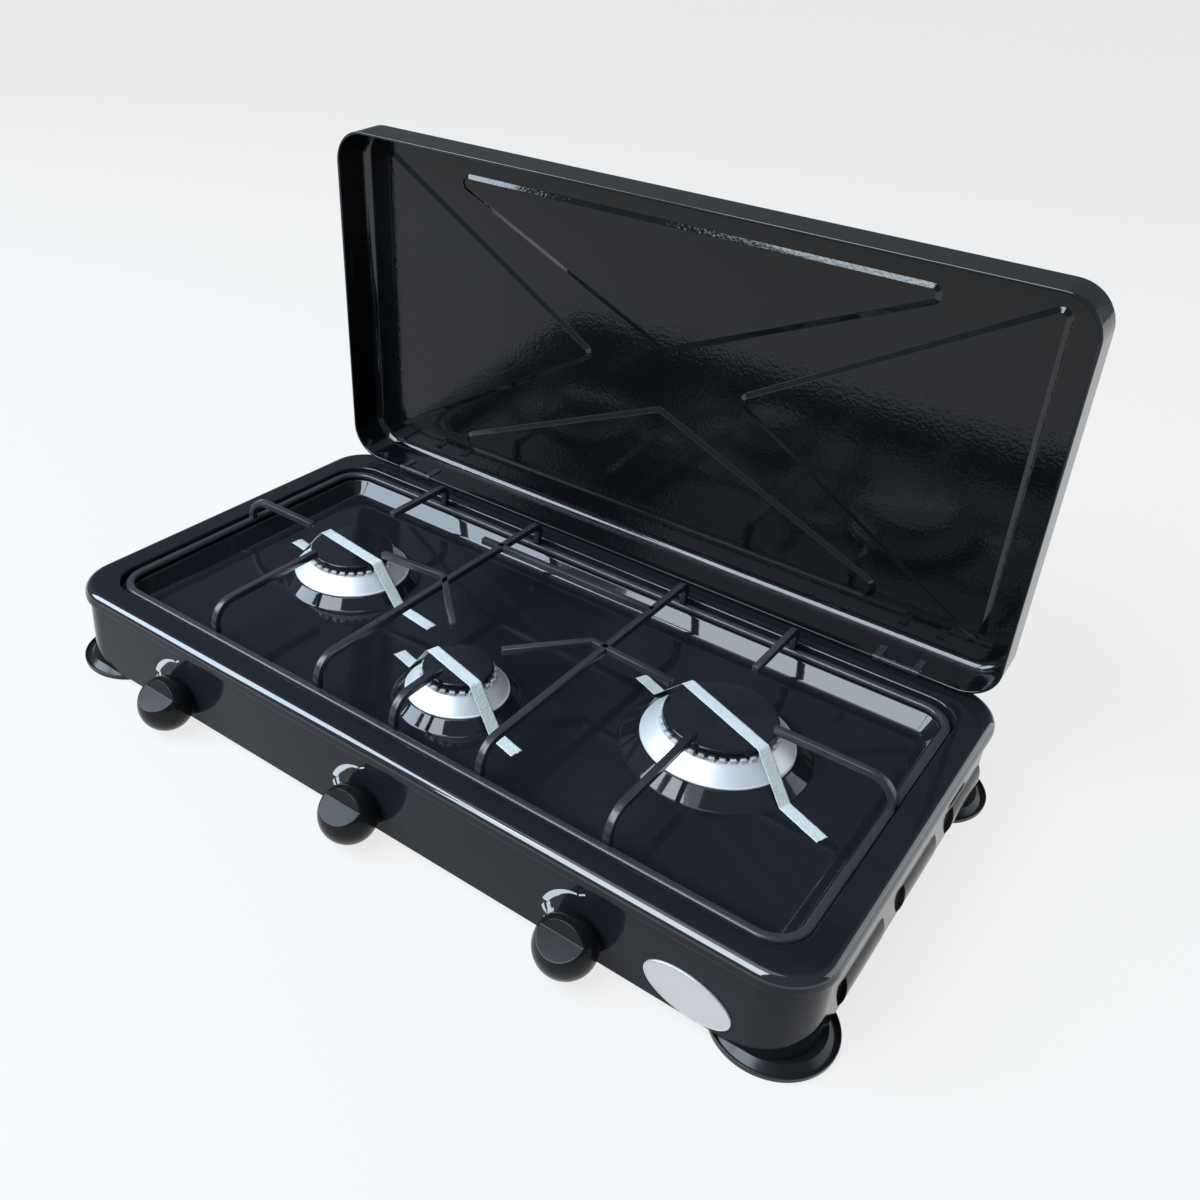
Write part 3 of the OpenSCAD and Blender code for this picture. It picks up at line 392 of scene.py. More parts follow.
def piece(name, bm, material, body=None, recalc=True, smooth=True, crease=None, weigh=False,
          replaces=()):
    """Turns the mesh into a finished piece that rides on its body."""
    if recalc:
        bmesh.ops.remove_doubles(bm, verts=bm.verts, dist=1e-7)
        bmesh.ops.recalc_face_normals(bm, faces=bm.faces)
    obj = link_mesh(name, bm)
    mesh = obj.data
    mesh.materials.append(material)
    for face in mesh.polygons:
        face.use_smooth = smooth
    if crease:
        mesh.set_sharp_from_angle(angle=math.radians(crease))
    if weigh:
        weigh_normals(obj)
    if body:
        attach(obj, body)
    if replaces:
        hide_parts(*replaces)
    return obj


def box_mesh(bm, low, high, where):
    """A closed box between two corners in millimetres."""
    corners = [where(*(high[k] if bits >> k & 1 else low[k] for k in range(3))) for bits in range(8)]
    v = [bm.verts.new(c) for c in corners]
    for f in ((0, 2, 3, 1), (4, 5, 7, 6), (0, 1, 5, 4), (2, 6, 7, 3), (0, 4, 6, 2), (1, 3, 7, 5)):
        bm.faces.new([v[i] for i in f])


def round_bar(bm, start, end, r, where, steps=32):
    """A closed cylinder between two points in millimetres."""
    start, end = Vector(start), Vector(end)
    axis = (end - start).normalized()
    side = axis.orthogonal().normalized()
    other = axis.cross(side)
    loops = []
    for p in (start, end):
        loops.append([bm.verts.new(where(*(p + (side * math.cos(a) + other * math.sin(a)) * r)))
                      for a in (2 * math.pi * k / steps for k in range(steps))])
    close(bm, loops)


def cut(obj, make_cutters):
    """Takes what make_cutters adds to a mesh out of obj."""
    bm = bmesh.new()
    make_cutters(bm)
    bmesh.ops.recalc_face_normals(bm, faces=bm.faces)
    cutter = link_mesh("cutter", bm)
    mod = obj.modifiers.new("cut", "BOOLEAN")
    mod.operation, mod.solver, mod.object = "DIFFERENCE", "EXACT", cutter
    bake(obj)
    bpy.data.objects.remove(cutter)


def paint_glaze(obj, amount, upright=(0, 0, 1)):
    """Writes on each point how far all its faces lean from level and from upright, times amount(point)."""
    up, mesh = Vector(upright), obj.data
    least = [1.0] * len(mesh.vertices)
    for face in mesh.polygons:
        level = abs(face.normal.dot(up))
        lean = min(level, math.sqrt(max(0.0, 1 - level * level)))
        for i in face.vertices:
            least[i] = min(least[i], lean)
    layer = mesh.attributes.new(GLAZE, "FLOAT", "POINT")
    for v in mesh.vertices:
        layer.data[v.index].value = min(1.0, max(0.0, (least[v.index] - 0.05) / 0.25)) * amount(v.co)


def bake(obj):
    """Applies every modifier of obj to its mesh."""
    bpy.context.view_layer.update()
    old = obj.data
    obj.data = bpy.data.meshes.new_from_object(obj.evaluated_get(bpy.context.evaluated_depsgraph_get()))
    obj.modifiers.clear()
    bpy.data.meshes.remove(old)


def turn_profile(bm, points, cx, cy, steps=96):
    """Spins (radius, height) points round an upright axis; a point at radius 0 becomes a pole."""
    loops = []
    for r, z in points:
        if r < 1e-6:
            loops.append([bm.verts.new(at_mm(cx, cy, z))] * steps)
        else:
            loops.append([bm.verts.new(at_mm(cx + r * math.cos(2 * math.pi * k / steps),
                                             cy + r * math.sin(2 * math.pi * k / steps), z))
                          for k in range(steps)])
    for a, b in zip(loops, loops[1:]):
        for i in range(steps):
            j = (i + 1) % steps
            ring = [a[i], a[j], b[j], b[i]]
            face = [v for k, v in enumerate(ring) if v not in ring[:k]]
            if len(face) > 2:
                bm.faces.new(face)
    return loops


# ------------------------------------------------------------------ casing
def press_casing():
    """Skirt, rolled edge, rim, stepped well and burner domes, drawn from one sheet."""
    bm = bmesh.new()
    outer = soften([(-12, SKIRT_Z, 0), (-PANEL_IN, SKIRT_Z, 1.2), (-PANEL_IN, SKIRT_Z + 3, 0),
                    (-PANEL_IN, RIM_Z - 19, 0), (-PANEL_IN, RIM_Z - 12.4, 0.8), (0, RIM_Z - 11.2, 1.5),
                    (0, RIM_Z, 7.0), (-16, RIM_Z, 0)], 8)
    inner = soften([(3, RIM_Z, 0), (0, RIM_Z, 1.4), (-0.6, LEDGE_Z, 1.6), (-10, LEDGE_Z, 2.5),
                    (-20, FLOOR_Z, 5.0), (-24, FLOOR_Z, 0)], 6)
    loops = [add_loop(bm, [(*p, z) for p in oblong(HALF_L + o, HALF_D + o, CORNER_R + o)], at_mm)
             for o, z in outer]
    loops += [add_loop(bm, [(*p, z) for p in oblong(WELL_HX + o, WELL_HY + o, WELL_R + o, WELL_Y)], at_mm)
              for o, z in inner]
    skin(bm, loops)
    holes = []
    for b in BURNERS.values():
        line = soften([(b["dome"] + 4, FLOOR_Z, 0), (b["dome"], FLOOR_Z, 3.5), (b["head"] + 0.5, HEAD_Z, 2.5),
                       (b["cap"] - 5, HEAD_Z, 0)])
        holes.append(turn_profile(bm, line, b["x"], b["y"])[0])
    fill_flat(bm, loops[-1], *holes)
    bmesh.ops.recalc_face_normals(bm, faces=bm.faces)
    casing = piece("casing_shell", bm, ENAMEL, crease=50)
    wall = casing.modifiers.new("wall", "SOLIDIFY")
    wall.thickness, wall.offset, wall.use_even_offset = 1.0 * MM, -1.0, True
    bake(casing)

    def openings(bm):
        slot = VENT_W / 2 - 2
        for x in KNOB_X.values():
            round_bar(bm, (x, -PANEL_Y - 6, KNOB_Z), (x, -PANEL_Y + 6, KNOB_Z), 7, at_mm)
        round_bar(bm, (NOZZLE_X, PANEL_Y - 6, NOZZLE_Z), (NOZZLE_X, PANEL_Y + 6, NOZZLE_Z), 8.5, at_mm)
        for s in (-1, 1):
            box_mesh(bm, (s * HINGE_X - 14, 160.5, 70), (s * HINGE_X + 14, 164.5, 80), at_mm)
            for y in VENT_Y:
                box_mesh(bm, (s * PANEL_X - 4, y - slot, VENT_Z - 10),
                         (s * PANEL_X + 4, y + slot, VENT_Z + 9), at_mm)
    cut(casing, openings)
    shade_smooth(casing.data, 40)
    well_x, well_y = WELL_HX + 2.5, WELL_HY + 2.5

    def wet(p):
        inside = abs(p.x / MM) < well_x and abs(p.y / MM - SHIFT - WELL_Y) < well_y
        return 0.45 if inside else float(p.z / MM > RIM_Z - 7.2)
    paint_glaze(casing, wet)
    weigh_normals(casing)
    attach(casing, "base")
    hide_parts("casing")


def press_louvres():
    """Hoods over the side slots, open along their lower edges."""
    bm = bmesh.new()
    half = VENT_H / 2
    r = (half ** 2 + VENT_OUT ** 2) / (2 * VENT_OUT)
    top, low = math.asin(half / r), math.asin(-7.0 / r)
    cx = PANEL_X + VENT_OUT - r

    def arc(radius, start, end, steps):
        return [(cx + radius * math.cos(a), VENT_Z + radius * math.sin(a))
                for a in (start + (end - start) * k / steps for k in range(steps + 1))]
    sheet = arc(r, low, top, 16) + arc(r - 1, low, top, 16)[::-1]
    cheek = arc(r, -top, top, 20)
    parts = [(sheet, (-VENT_W / 2 + 0.5, VENT_W / 2 - 0.5))]
    parts += [(cheek, (y, y + 1)) for y in (-VENT_W / 2, VENT_W / 2 - 1)]
    for s in (-1, 1):
        for y in VENT_Y:
            for line, ends in parts:
                close(bm, [[bm.verts.new(at_mm(s * px, y + d, pz)) for px, pz in line] for d in ends])
    hoods = piece("side_louvres", bm, ENAMEL, crease=40)
    edge = hoods.modifiers.new("edge", "BEVEL")
    edge.width, edge.segments, edge.limit_method = 0.35 * MM, 2, "ANGLE"
    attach(hoods, "base")


def print_marks():
    """Tapering crescent, off mark and flame round each knob."""
    bm = bmesh.new()
    y = -PANEL_Y - 0.08

    def spot(x, radius, degrees):
        a = math.radians(degrees)
        return at_mm(x + radius * math.cos(a), y, KNOB_Z + radius * math.sin(a))

    def band(x, edge):
        """Strip between two radii at each angle."""
        rows = [[bm.verts.new(spot(x, r, a)) for r in (outer, inner)] for a, outer, inner in edge]
        for (a, b), (c, d) in zip(rows, rows[1:]):
            bm.faces.new((a, b, d, c))
    flame = (((-22.8, 11.0), (-25.5, 7.9), (-24.2, 3.5), (-23.6, -1.6), (-20.6, 0.8), (-19.3, 4.2),
              (-19.8, 7.6), (-21.0, 5.4), (-22.3, 7.2)),
             ((-27.4, 6.8), (-28.8, 3.6), (-27.4, 0.6), (-24.3, -1.4), (-25.2, 1.6), (-26.4, 3.4)),
             ((-26.6, -3.8), (-25.6, -4.6), (-25.4, -7.2), (-26.3, -7.4)))
    first, sweep, rim = 98, 63, 30.3  # the crescent's angles in degrees and its outer radius
    crescent = []
    for k in range(33):
        t = k / 32
        thick = 1.6 + 2.7 * min(1.0, t * 1.9) ** 1.5
        crescent.append((first + sweep * t, rim, rim - thick * (1 if t < 0.97 else 0.2)))
    off_dash = [(87 + 2 * k, 33.0 - 0.7 * k, 31.5 - 0.7 * k) for k in range(5)]
    for x in KNOB_X.values():
        band(x, crescent)
        band(x, off_dash)
        for outline in flame:
            bm.faces.new([bm.verts.new(at_mm(x + across, y, KNOB_Z + up)) for across, up in outline])
    for f in bm.faces:
        f.normal_update()
        if f.normal.y > 0:
            f.normal_flip()
    piece("panel_marks", bm, INK, body="base", recalc=False, smooth=False)


# ------------------------------------------------------------------ lid
FIELD_W = 6.0  # a pressed line is rounder and wider here than in the part's source
FIELDS_END = ((297.0, 17.6), (297.0, 302.2), (62.0, 162.0))
FIELDS = [
    ([(x, LID_BACK - d) for x, d in FIELDS_END], 9.0),
    ([(-x, LID_BACK - d) for x, d in FIELDS_END], 9.0),
    ([(x, LID_BACK - d) for x, d in ((-244, 291.3), (0, 181.5), (244, 291.3))], 9.0),
    ([(x, LID_BACK - d) for x, d in ((-250, 25), (250, 25), (0, 135))], 11.0),
]


def move_in(tri, d):
    """The triangle with each side moved in by d."""
    p = [Vector(q) for q in tri]
    a, b, c = (p[1] - p[2]).length, (p[2] - p[0]).length, (p[0] - p[1]).length
    s = (a + b + c) / 2
    heart = (p[0] * a + p[1] * b + p[2] * c) / (a + b + c)
    rho = math.sqrt((s - a) * (s - b) * (s - c) / s)
    return [heart + (q - heart) * (rho - d) / rho for q in p]


def round_triangle(tri, r, steps=8):
    """Outline with a fillet at each corner, as points in plan."""
    out = []
    for i in range(3):
        back, here, on = Vector(tri[i - 1]), Vector(tri[i]), Vector(tri[(i + 1) % 3])
        u, v = (back - here).normalized(), (on - here).normalized()
        half = u.angle(v) / 2
        centre = here + (u + v).normalized() * r / math.sin(half)
        start, end = here + u * r / math.tan(half) - centre, here + v * r / math.tan(half) - centre
        turn = start.angle_signed(end)
        for k in range(steps + 1):
            a = -turn * k / steps
            out.append((centre.x + start.x * math.cos(a) - start.y * math.sin(a),
                        centre.y + start.x * math.sin(a) + start.y * math.cos(a)))
    return out


def press_lid():
    """Lid with folded edge, round bend and four pressed fields, both faces modelled."""
    bm = bmesh.new()
    cy = LID_BACK - LID_D / 2
    line = soften([(-12, LID_TOP, 0), (0, LID_TOP, 8.5), (0, LID_EDGE, 0.8), (-2.2, LID_EDGE, 0.9),
                   (-2.2, LID_EDGE + 6.6, 0.5), (-1.0, LID_EDGE + 7.4, 0.5), (-1.0, LID_TOP - 1, 7.5),
                   (-12, LID_TOP - 1, 0)], 8)
    loops = [add_loop(bm, [(*p, z) for p in oblong(LID_L / 2 + o, LID_D / 2 + o, LID_R + o, cy)], to_lid)
             for o, z in line]
    skin(bm, loops)
    press = soften([(0, 0, 0), (0.8, 0, 2.2), (FIELD_W - 0.8, -PRESS, 2.2), (FIELD_W, -PRESS, 0)], 4)
    for level, edge in ((LID_TOP, loops[0]), (LID_TOP - 1, loops[-1])):
        holes = []
        for tri, bend in FIELDS:
            rings = []
            for d, drop in press:
                outline = round_triangle(move_in(tri, d), bend - d)
                rings.append(add_loop(bm, [(*p, level + drop) for p in outline], to_lid))
            skin(bm, rings)
            fill_flat(bm, rings[-1])
            holes.append(rings[0])
        fill_flat(bm, edge, *holes)
    lid = piece("lid_shell", bm, LID_ENAMEL, crease=50)

    def notches(bm):
        for s in (-1, 1):
            box_mesh(bm, (s * HINGE_X - 19.5, LID_BACK - 5, 70),
                     (s * HINGE_X + 19.5, LID_BACK + 5, 85), to_lid)
    cut(lid, notches)
    shade_smooth(lid.data, 50)
    lean = math.radians(LID_OPEN)
    paint_glaze(lid, lambda p: 0.4, (0, math.sin(lean), math.cos(lean)))
    weigh_normals(lid)
    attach(lid, "lid")
    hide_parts("lid_panel")


# ------------------------------------------------------------------ pan support
LEG_FOOT = RING_Z + RING_T - 0.2  # legs sink a little into the ring that they stand on
LONG_BARS = (-80.5, 70.0)
CROSS_BAR = ((-100, 80.4), (71, 80.4))
ANGLED_RODS = (((-147.5, 4.6), (-87, 10.7), (-35, -40.3)), ((13, -42), (58, 12.4), (130, 7.5)))
FRONT_FINGERS = ((-190, -31.5), (-7, -90), (172, -34))  # x of each, and y of its tip
BACK_FINGERS = ((-188, 61), (170, 62.5))
SIDE_FINGERS = ((-1, 1, 226), (1, 7.6, 213))  # side, y, and how far its tip is from the middle


def draw_rod(bm, path, side_of):
    """Sweeps a square section with broken edges along a path; side_of(tangent) is its level side."""
    section = oblong(BAR_W / 2, BAR_W / 2, 0.55, steps=3)
    last = len(path) - 1
    chamfer = ((0.0, 0.90), (0.3, 1.0))
    loops = []
    for i, p in enumerate(path):
        tangent = (path[min(i + 1, last)] - path[max(i - 1, 0)]).normalized()
        side = side_of(tangent)
        up = side.cross(tangent).normalized()
        rings = {0: chamfer, last: chamfer[::-1]}.get(i, ((0.0, 1.0),))
        for inset, scale in rings:
            shift = tangent * (inset if i == 0 else -inset)
            loops.append([bm.verts.new(at_mm(*(p + shift + side * a * scale + up * b * scale)))
                          for a, b in section])
    close(bm, loops)


def leg_and_run(start, heading, bend, length, other=None, foot=LEG_FOOT):
    """Path of a rod: up from its foot, round a bend and level along heading; other adds a far leg."""
    heading = Vector(heading).normalized()
    up = Vector((0, 0, 1))
    path = [Vector((*start, foot))]
    centre = Vector((*start, BAR_Z - bend)) + heading * bend
    for k in range(11):
        a = math.pi * k / 20
        path.append(centre - heading * bend * math.cos(a) + up * bend * math.sin(a))
    if other is None:
        path.append(Vector((*start, BAR_Z)) + heading * length)
        return path
    far = Vector((*start, 0)) + heading * length
    centre = Vector((far.x, far.y, BAR_Z - other)) - heading * other
    for k in range(11):
        a = math.pi * k / 20
        path.append(centre + up * other * math.cos(a) + heading * other * math.sin(a))
    path.append(Vector((far.x, far.y, LEG_FOOT)))
    return path


def bend_in_plan(points, r):
    """Level path through plan points with round bends."""
    line = soften([(*p, r) for p in points], 8)
    return [Vector((x, y, BAR_Z)) for x, y in line]


def weld_support():
    """Perimeter bar, long bars, bent rods, cross bar and fingers."""
    front, back = RING_CY - (RING_HY - RING_W / 2), RING_CY + (RING_HY - RING_W / 2)
    end = RING_HX - RING_W / 2
    near, low = front + RING_W / 2 + BAR_W / 2 - 0.15, RING_Z + 0.1  # legs welded inside the front bar
    bm = bmesh.new()
    loops = []
    for a, b in oblong(RING_W / 2, RING_T / 2, 2.3, steps=6):
        o = a - RING_W / 2
        loops.append(add_loop(bm, [(*p, RING_Z + RING_T / 2 + b)
                                   for p in oblong(RING_HX + o, RING_HY + o, RING_R + o, RING_CY)], at_mm))
    skin(bm, loops, shut=True)
    piece("support_ring", bm, GRID_ENAMEL, body="pan_support", replaces=("grid_ring",))

    def level_side(t):
        return Vector((t.y, -t.x, 0)).normalized()
    bm = bmesh.new()
    for x in LONG_BARS:
        draw_rod(bm, leg_and_run((x, near), (0, 1, 0), 16, back - near, 8, low), lambda t: Vector((1, 0, 0)))
    for rod in ANGLED_RODS:
        draw_rod(bm, bend_in_plan(rod, 3.2), level_side)
    draw_rod(bm, bend_in_plan(CROSS_BAR, 0), level_side)
    piece("support_bars", bm, GRID_ENAMEL, body="pan_support", replaces=("grid_bars",))

    bm = bmesh.new()
    for x, tip in FRONT_FINGERS:
        draw_rod(bm, leg_and_run((x, near), (0, 1, 0), 16, tip - near, foot=low), lambda t: Vector((1, 0, 0)))
    for x, tip in BACK_FINGERS:
        draw_rod(bm, leg_and_run((x, back), (0, -1, 0), 8, back - tip), lambda t: Vector((-1, 0, 0)))
    for out, y, tip in SIDE_FINGERS:
        path = leg_and_run((out * end, y), (-out, 0, 0), 19, end - tip)
        draw_rod(bm, path, lambda t: Vector((0, out, 0)))
    piece("support_fingers", bm, GRID_ENAMEL, body="pan_support",
          replaces=("grid_fingers",))


# ------------------------------------------------------------------ burners
def teeth_tree():
    """Geometry nodes: copies of one tooth round a circle, turned to face outwards."""
    tree = bpy.data.node_groups.new("crown_teeth", "GeometryNodeTree")
    face = tree.interface
    for label, kind in (("Tooth", "NodeSocketObject"), ("Count", "NodeSocketInt"),
                        ("Radius", "NodeSocketFloat"), ("Centre", "NodeSocketVector"),
                        ("Finish", "NodeSocketMaterial")):
        face.new_socket(label, in_out="INPUT", socket_type=kind)
    face.new_socket("Geometry", in_out="OUTPUT", socket_type="NodeSocketGeometry")
    new, link = tree.nodes.new, tree.links.new
    given, out = new("NodeGroupInput"), new("NodeGroupOutput")
    circle, info = new("GeometryNodeMeshCircle"), new("GeometryNodeObjectInfo")
    where, turn = new("GeometryNodeInputPosition"), new("FunctionNodeAlignRotationToVector")
    copies, move = new("GeometryNodeInstanceOnPoints"), new("GeometryNodeTransform")
    real, coat = new("GeometryNodeRealizeInstances"), new("GeometryNodeSetMaterial")
    turn.axis = "X"
    link(given.outputs["Count"], circle.inputs["Vertices"])
    link(given.outputs["Radius"], circle.inputs["Radius"])
    link(given.outputs["Tooth"], info.inputs["Object"])
    link(where.outputs[0], turn.inputs["Vector"])
    link(circle.outputs[0], copies.inputs["Points"])
    link(info.outputs["Geometry"], copies.inputs["Instance"])
    link(turn.outputs[0], copies.inputs["Rotation"])
    link(copies.outputs[0], move.inputs["Geometry"])
    link(given.outputs["Centre"], move.inputs["Translation"])
    link(move.outputs[0], real.inputs[0])
    link(real.outputs[0], coat.inputs["Geometry"])
    link(given.outputs["Finish"], coat.inputs["Material"])
    link(coat.outputs[0], out.inputs[0])
    return tree


def repeat(tree, name, values, body):
    """Runs a geometry tree with these input values and keeps the result as a plain mesh piece."""
    holder = bpy.data.objects.new(name, bpy.data.meshes.new(name))
    bpy.context.scene.collection.objects.link(holder)
    mod = holder.modifiers.new("repeat", "NODES")
    mod.node_group = tree
    ids = {s.name: s.identifier for s in tree.interface.items_tree if s.in_out == "INPUT"}
    for label, value in values.items():
        mod[ids[label]] = value
    bake(holder)
    shade_smooth(holder.data, 35)
    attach(holder, body)


TOOTH_SINK = 0.05  # teeth go into the head by this much


def crown_tooth(width):
    """One land between two ports: a tapered block with broken edges."""
    bm = bmesh.new()
    half = CROWN_W / 2
    plan = [(-half, -0.4 * width), (half, -0.5 * width), (half, 0.5 * width), (-half, 0.4 * width)]
    close(bm, [[bm.verts.new(Vector((x * MM, y * MM, z * MM))) for x, y in plan]
               for z in (0.0, PORT_H + TOOTH_SINK)])
    bmesh.ops.recalc_face_normals(bm, faces=bm.faces)
    bmesh.ops.bevel(bm, geom=bm.edges[:], offset=0.3 * MM, segments=2, affect="EDGES", profile=0.5)
    return link_mesh("tooth", bm)


def turn_head(side, b, metal):
    """Lip, cone and crown floor, with the spigot that goes down into the cup."""
    head, crown, base = b["head"], b["cap"] + CROWN_OUT, CROWN_Z - PORT_H
    bm = bmesh.new()
    line = soften([(head - 4.6, HEAD_Z + 0.02, 0), (head, HEAD_Z + 0.02, 0.2), (head, HEAD_Z + 1.1, 0.35),
                   (head - 1.3, HEAD_Z + 1.7, 0.5), (crown + 0.6, base - 0.9, 0.5), (crown, base, 0.3),
                   (crown - CROWN_W, base, 0.3), (crown - CROWN_W, CROWN_Z - 4.5, 1.0),
                   (SPIGOT_BORE, CROWN_Z - 9, 1.0), (SPIGOT_BORE, HEAD_Z - 8, 0.3),
                   (SPIGOT_R, HEAD_Z - 8, 0.3), (SPIGOT_R, CROWN_Z - 11, 1.0),
                   (crown - 1.5, CROWN_Z - 7, 0.5), (head - 4.6, HEAD_Z + 0.02, 0)], 5)
    turn_profile(bm, line, b["x"], b["y"], 128)
    piece("head_" + side, bm, metal, body="base", crease=60, weigh=True,
          replaces=("burner_head_" + b["tag"],))


def set_crown(tree, side, b, metal):
    """Teeth round the top of the head, with the ports between them."""
    middle = b["cap"] + CROWN_OUT - CROWN_W / 2
    tooth = crown_tooth(2 * math.pi * middle / b["ports"] - PORT_W)
    centre = at_mm(b["x"], b["y"], CROWN_Z - PORT_H - TOOTH_SINK)
    repeat(tree, "crown_teeth_" + side,
           {"Tooth": tooth, "Count": b["ports"], "Radius": middle * MM, "Centre": tuple(centre),
            "Finish": metal}, "base")
    bpy.data.objects.remove(tooth)


def turn_cap(side, b):
    """Flat cap, hollow beneath, with a ring that drops inside the crown."""
    cap = b["cap"]
    ring = cap + CROWN_OUT - (CROWN_W + PLAY)
    bm = bmesh.new()
    line = soften([(0, CAP_Z, 0), (cap - 0.25, CAP_Z, 1.7), (cap - 0.25, CROWN_Z + 1.9, 0.3),
                   (cap, CROWN_Z + 1.4, 0.25), (cap, CROWN_Z + 0.05, 0.4), (ring, CROWN_Z + 0.05, 0.1),
                   (ring, CROWN_Z - 2.4, 0.3), (ring - 1.6, CROWN_Z - 2.4, 0.3),
                   (ring - 1.6, CAP_Z - 2.5, 0.5), (0, CAP_Z - 2.5, 0)], 5)
    turn_profile(bm, line, b["x"], b["y"], 128)
    piece("cap_plate_" + side, bm, CAP_ENAMEL, body="cap_" + side, crease=60,
          weigh=True, replaces=("burner_cap_" + b["tag"],))


def make_burners():
    """Turned heads with their port crowns, and the flat caps on top."""
    tree = teeth_tree()
    for side, b in BURNERS.items():
        metal = turned_aluminium("turned_aluminium_" + side, at_mm(b["x"], b["y"], 0))
        turn_head(side, b, metal)
        set_crown(tree, side, b, metal)
        turn_cap(side, b)


# ends of each strip from its burner's middle, and how far outside the dome it comes down
TAPES = {
    "left": ((-79.4, 10.5), (104.3, -17.0), (3.6, 7.1)),
    "centre": ((-70.5, 14.5), (74.6, -25.0), (1.0, 5.2)),
    "right": ((-87.2, 39.0), (100.7, -39.2), (1.2, 1.3)),
}
TAPE_W, TAPE_T = 10.5, 0.22


def tape_corners(b, start, end, land):
    """Creases of a strip: along the floor, up to the cap, over it and down again."""
    a, e = Vector(start), Vector(end)
    d = (e - a).normalized()
    aside = abs(a.x * d.y - a.y * d.x)
    mid = -a.dot(d)
    over = math.sqrt(b["cap"] ** 2 - max(0.0, aside - TAPE_W / 2) ** 2) + 0.2
    left, right = (math.sqrt((b["dome"] + r) ** 2 - aside ** 2) for r in land)
    low, high = FLOOR_Z + 0.32, CAP_Z + 0.02
    line = ((0, low), (mid - left, low), (mid - over, high), (mid + over, high), (mid + right, low),
            ((e - a).length, low))
    return [Vector((b["x"] + a.x + d.x * s, b["y"] + a.y + d.y * s, z)) for s, z in line]


def ease_path(corners, gap):
    """Points along the corners, about gap apart, with each bend eased."""
    fine = []
    for a, b in zip(corners, corners[1:]):
        n = max(2, int((b - a).length / gap))
        fine += [a.lerp(b, k / n) for k in range(n)]
    fine.append(corners[-1])
    return [fine[0], *((a + b * 2 + c) / 4 for a, b, c in zip(fine, fine[1:], fine[2:])), fine[-1]]


def stick_tapes():
    """Strips of film from the well over each cap, creased, with ragged ends."""
    across = 10
    for side, (start, end, land) in TAPES.items():
        path = ease_path(tape_corners(BURNERS[side], start, end, land), 0.9)
        last = len(path) - 1
        bm = bmesh.new()
        top, bottom = [], []
        for i, p in enumerate(path):
            t = (path[min(i + 1, last)] - path[max(i - 1, 0)]).normalized()
            wide = Vector((-t.y, t.x, 0)).normalized()
            up = t.cross(wide).normalized()
            if up.z < 0:
                up = -up
            rows = ([], [])
            for k in range(across + 1):
                u = k / across - 0.5
                ragged = 0.0
                if i in (0, last):
                    ragged = (1.4 if i else -1.4) * abs(noise.noise(Vector((k * 1.3, i, 3.1)))) * 2.0
                ripple = 0.10 * noise.noise(p * 0.30 + wide * u * 4.0) \
                    + 0.06 * noise.noise(p * 0.9 + wide * u * 7.0)
                here = p + wide * u * TAPE_W * (1 + 0.012 * math.sin(i * 0.4)) - t * ragged
                for row, lift in zip(rows, (TAPE_T + max(ripple, -0.1) + 0.1, max(ripple, -0.1) + 0.1)):
                    row.append(bm.verts.new(at_mm(*(here + up * lift))))
            top.append(rows[0])
            bottom.append(rows[1])
        skin(bm, [a + b[::-1] for a, b in zip(top, bottom)])
        for end_rows in ([top[0], bottom[0]], [top[-1], bottom[-1]]):
            skin(bm, end_rows, closed=False)
        piece("tape_" + side, bm, TAPE, body="cap_" + side,
              replaces=("tape_" + BURNERS[side]["tag"],))


# ------------------------------------------------------------------ knobs, feet, badge
def soft_min(a, b, k):
    """The smaller of two numbers, rounded over where they come within k of each other."""
    h = max(k - abs(a - b), 0.0) / k
    return min(a, b) - h * h * k * 0.25


def mould_knobs():
    """Rounded knob whose surface is the nearer of its ball, its back and its notch flats."""
    # planes as a direction and a distance from the ball's middle
    flat_low = (Vector((0, -0.4472, 0.8944)), 14.09)
    flat_up = (Vector((0, -0.9394, 0.3428)), 9.62)
    back = (Vector((0, 1, 0)), KNOB_MID - KNOB_BACK)

    def reach(plane, u):
        along = plane[0].dot(u)
        return plane[1] / along if along > 1e-4 else 1e3
    for side, x in KNOB_X.items():
        bm = bmesh.new()
        rows, columns = 190, 250
        loops = []
        for i in range(1, rows):
            tilt = math.pi * i / rows
            loop = []
            for j in range(columns):
                a = 2 * math.pi * j / columns
                u = Vector((math.sin(tilt) * math.cos(a), -math.cos(tilt), math.sin(tilt) * math.sin(a)))
                notch = -soft_min(-min(reach(flat_low, u), 60.0), -min(reach(flat_up, u), 60.0), 0.4)
                r = soft_min(soft_min(KNOB_R, notch, 0.45), reach(back, u), 0.9)
                loop.append(bm.verts.new(at_mm(*(Vector((x, -PANEL_Y - KNOB_MID, KNOB_Z)) + u * r))))
            loops.append(loop)
        skin(bm, loops)
        for loop, y in ((loops[0], -KNOB_R), (loops[-1], KNOB_MID - KNOB_BACK)):
            tip = bm.verts.new(at_mm(x, -PANEL_Y - KNOB_MID + y, KNOB_Z))
            for j in range(columns):
                bm.faces.new((loop[j], loop[(j + 1) % columns], tip))
        piece("knob_shell_" + side, bm, KNOB_PLASTIC, body="knob_" + side + "_set",
              replaces=("knob_" + side,))


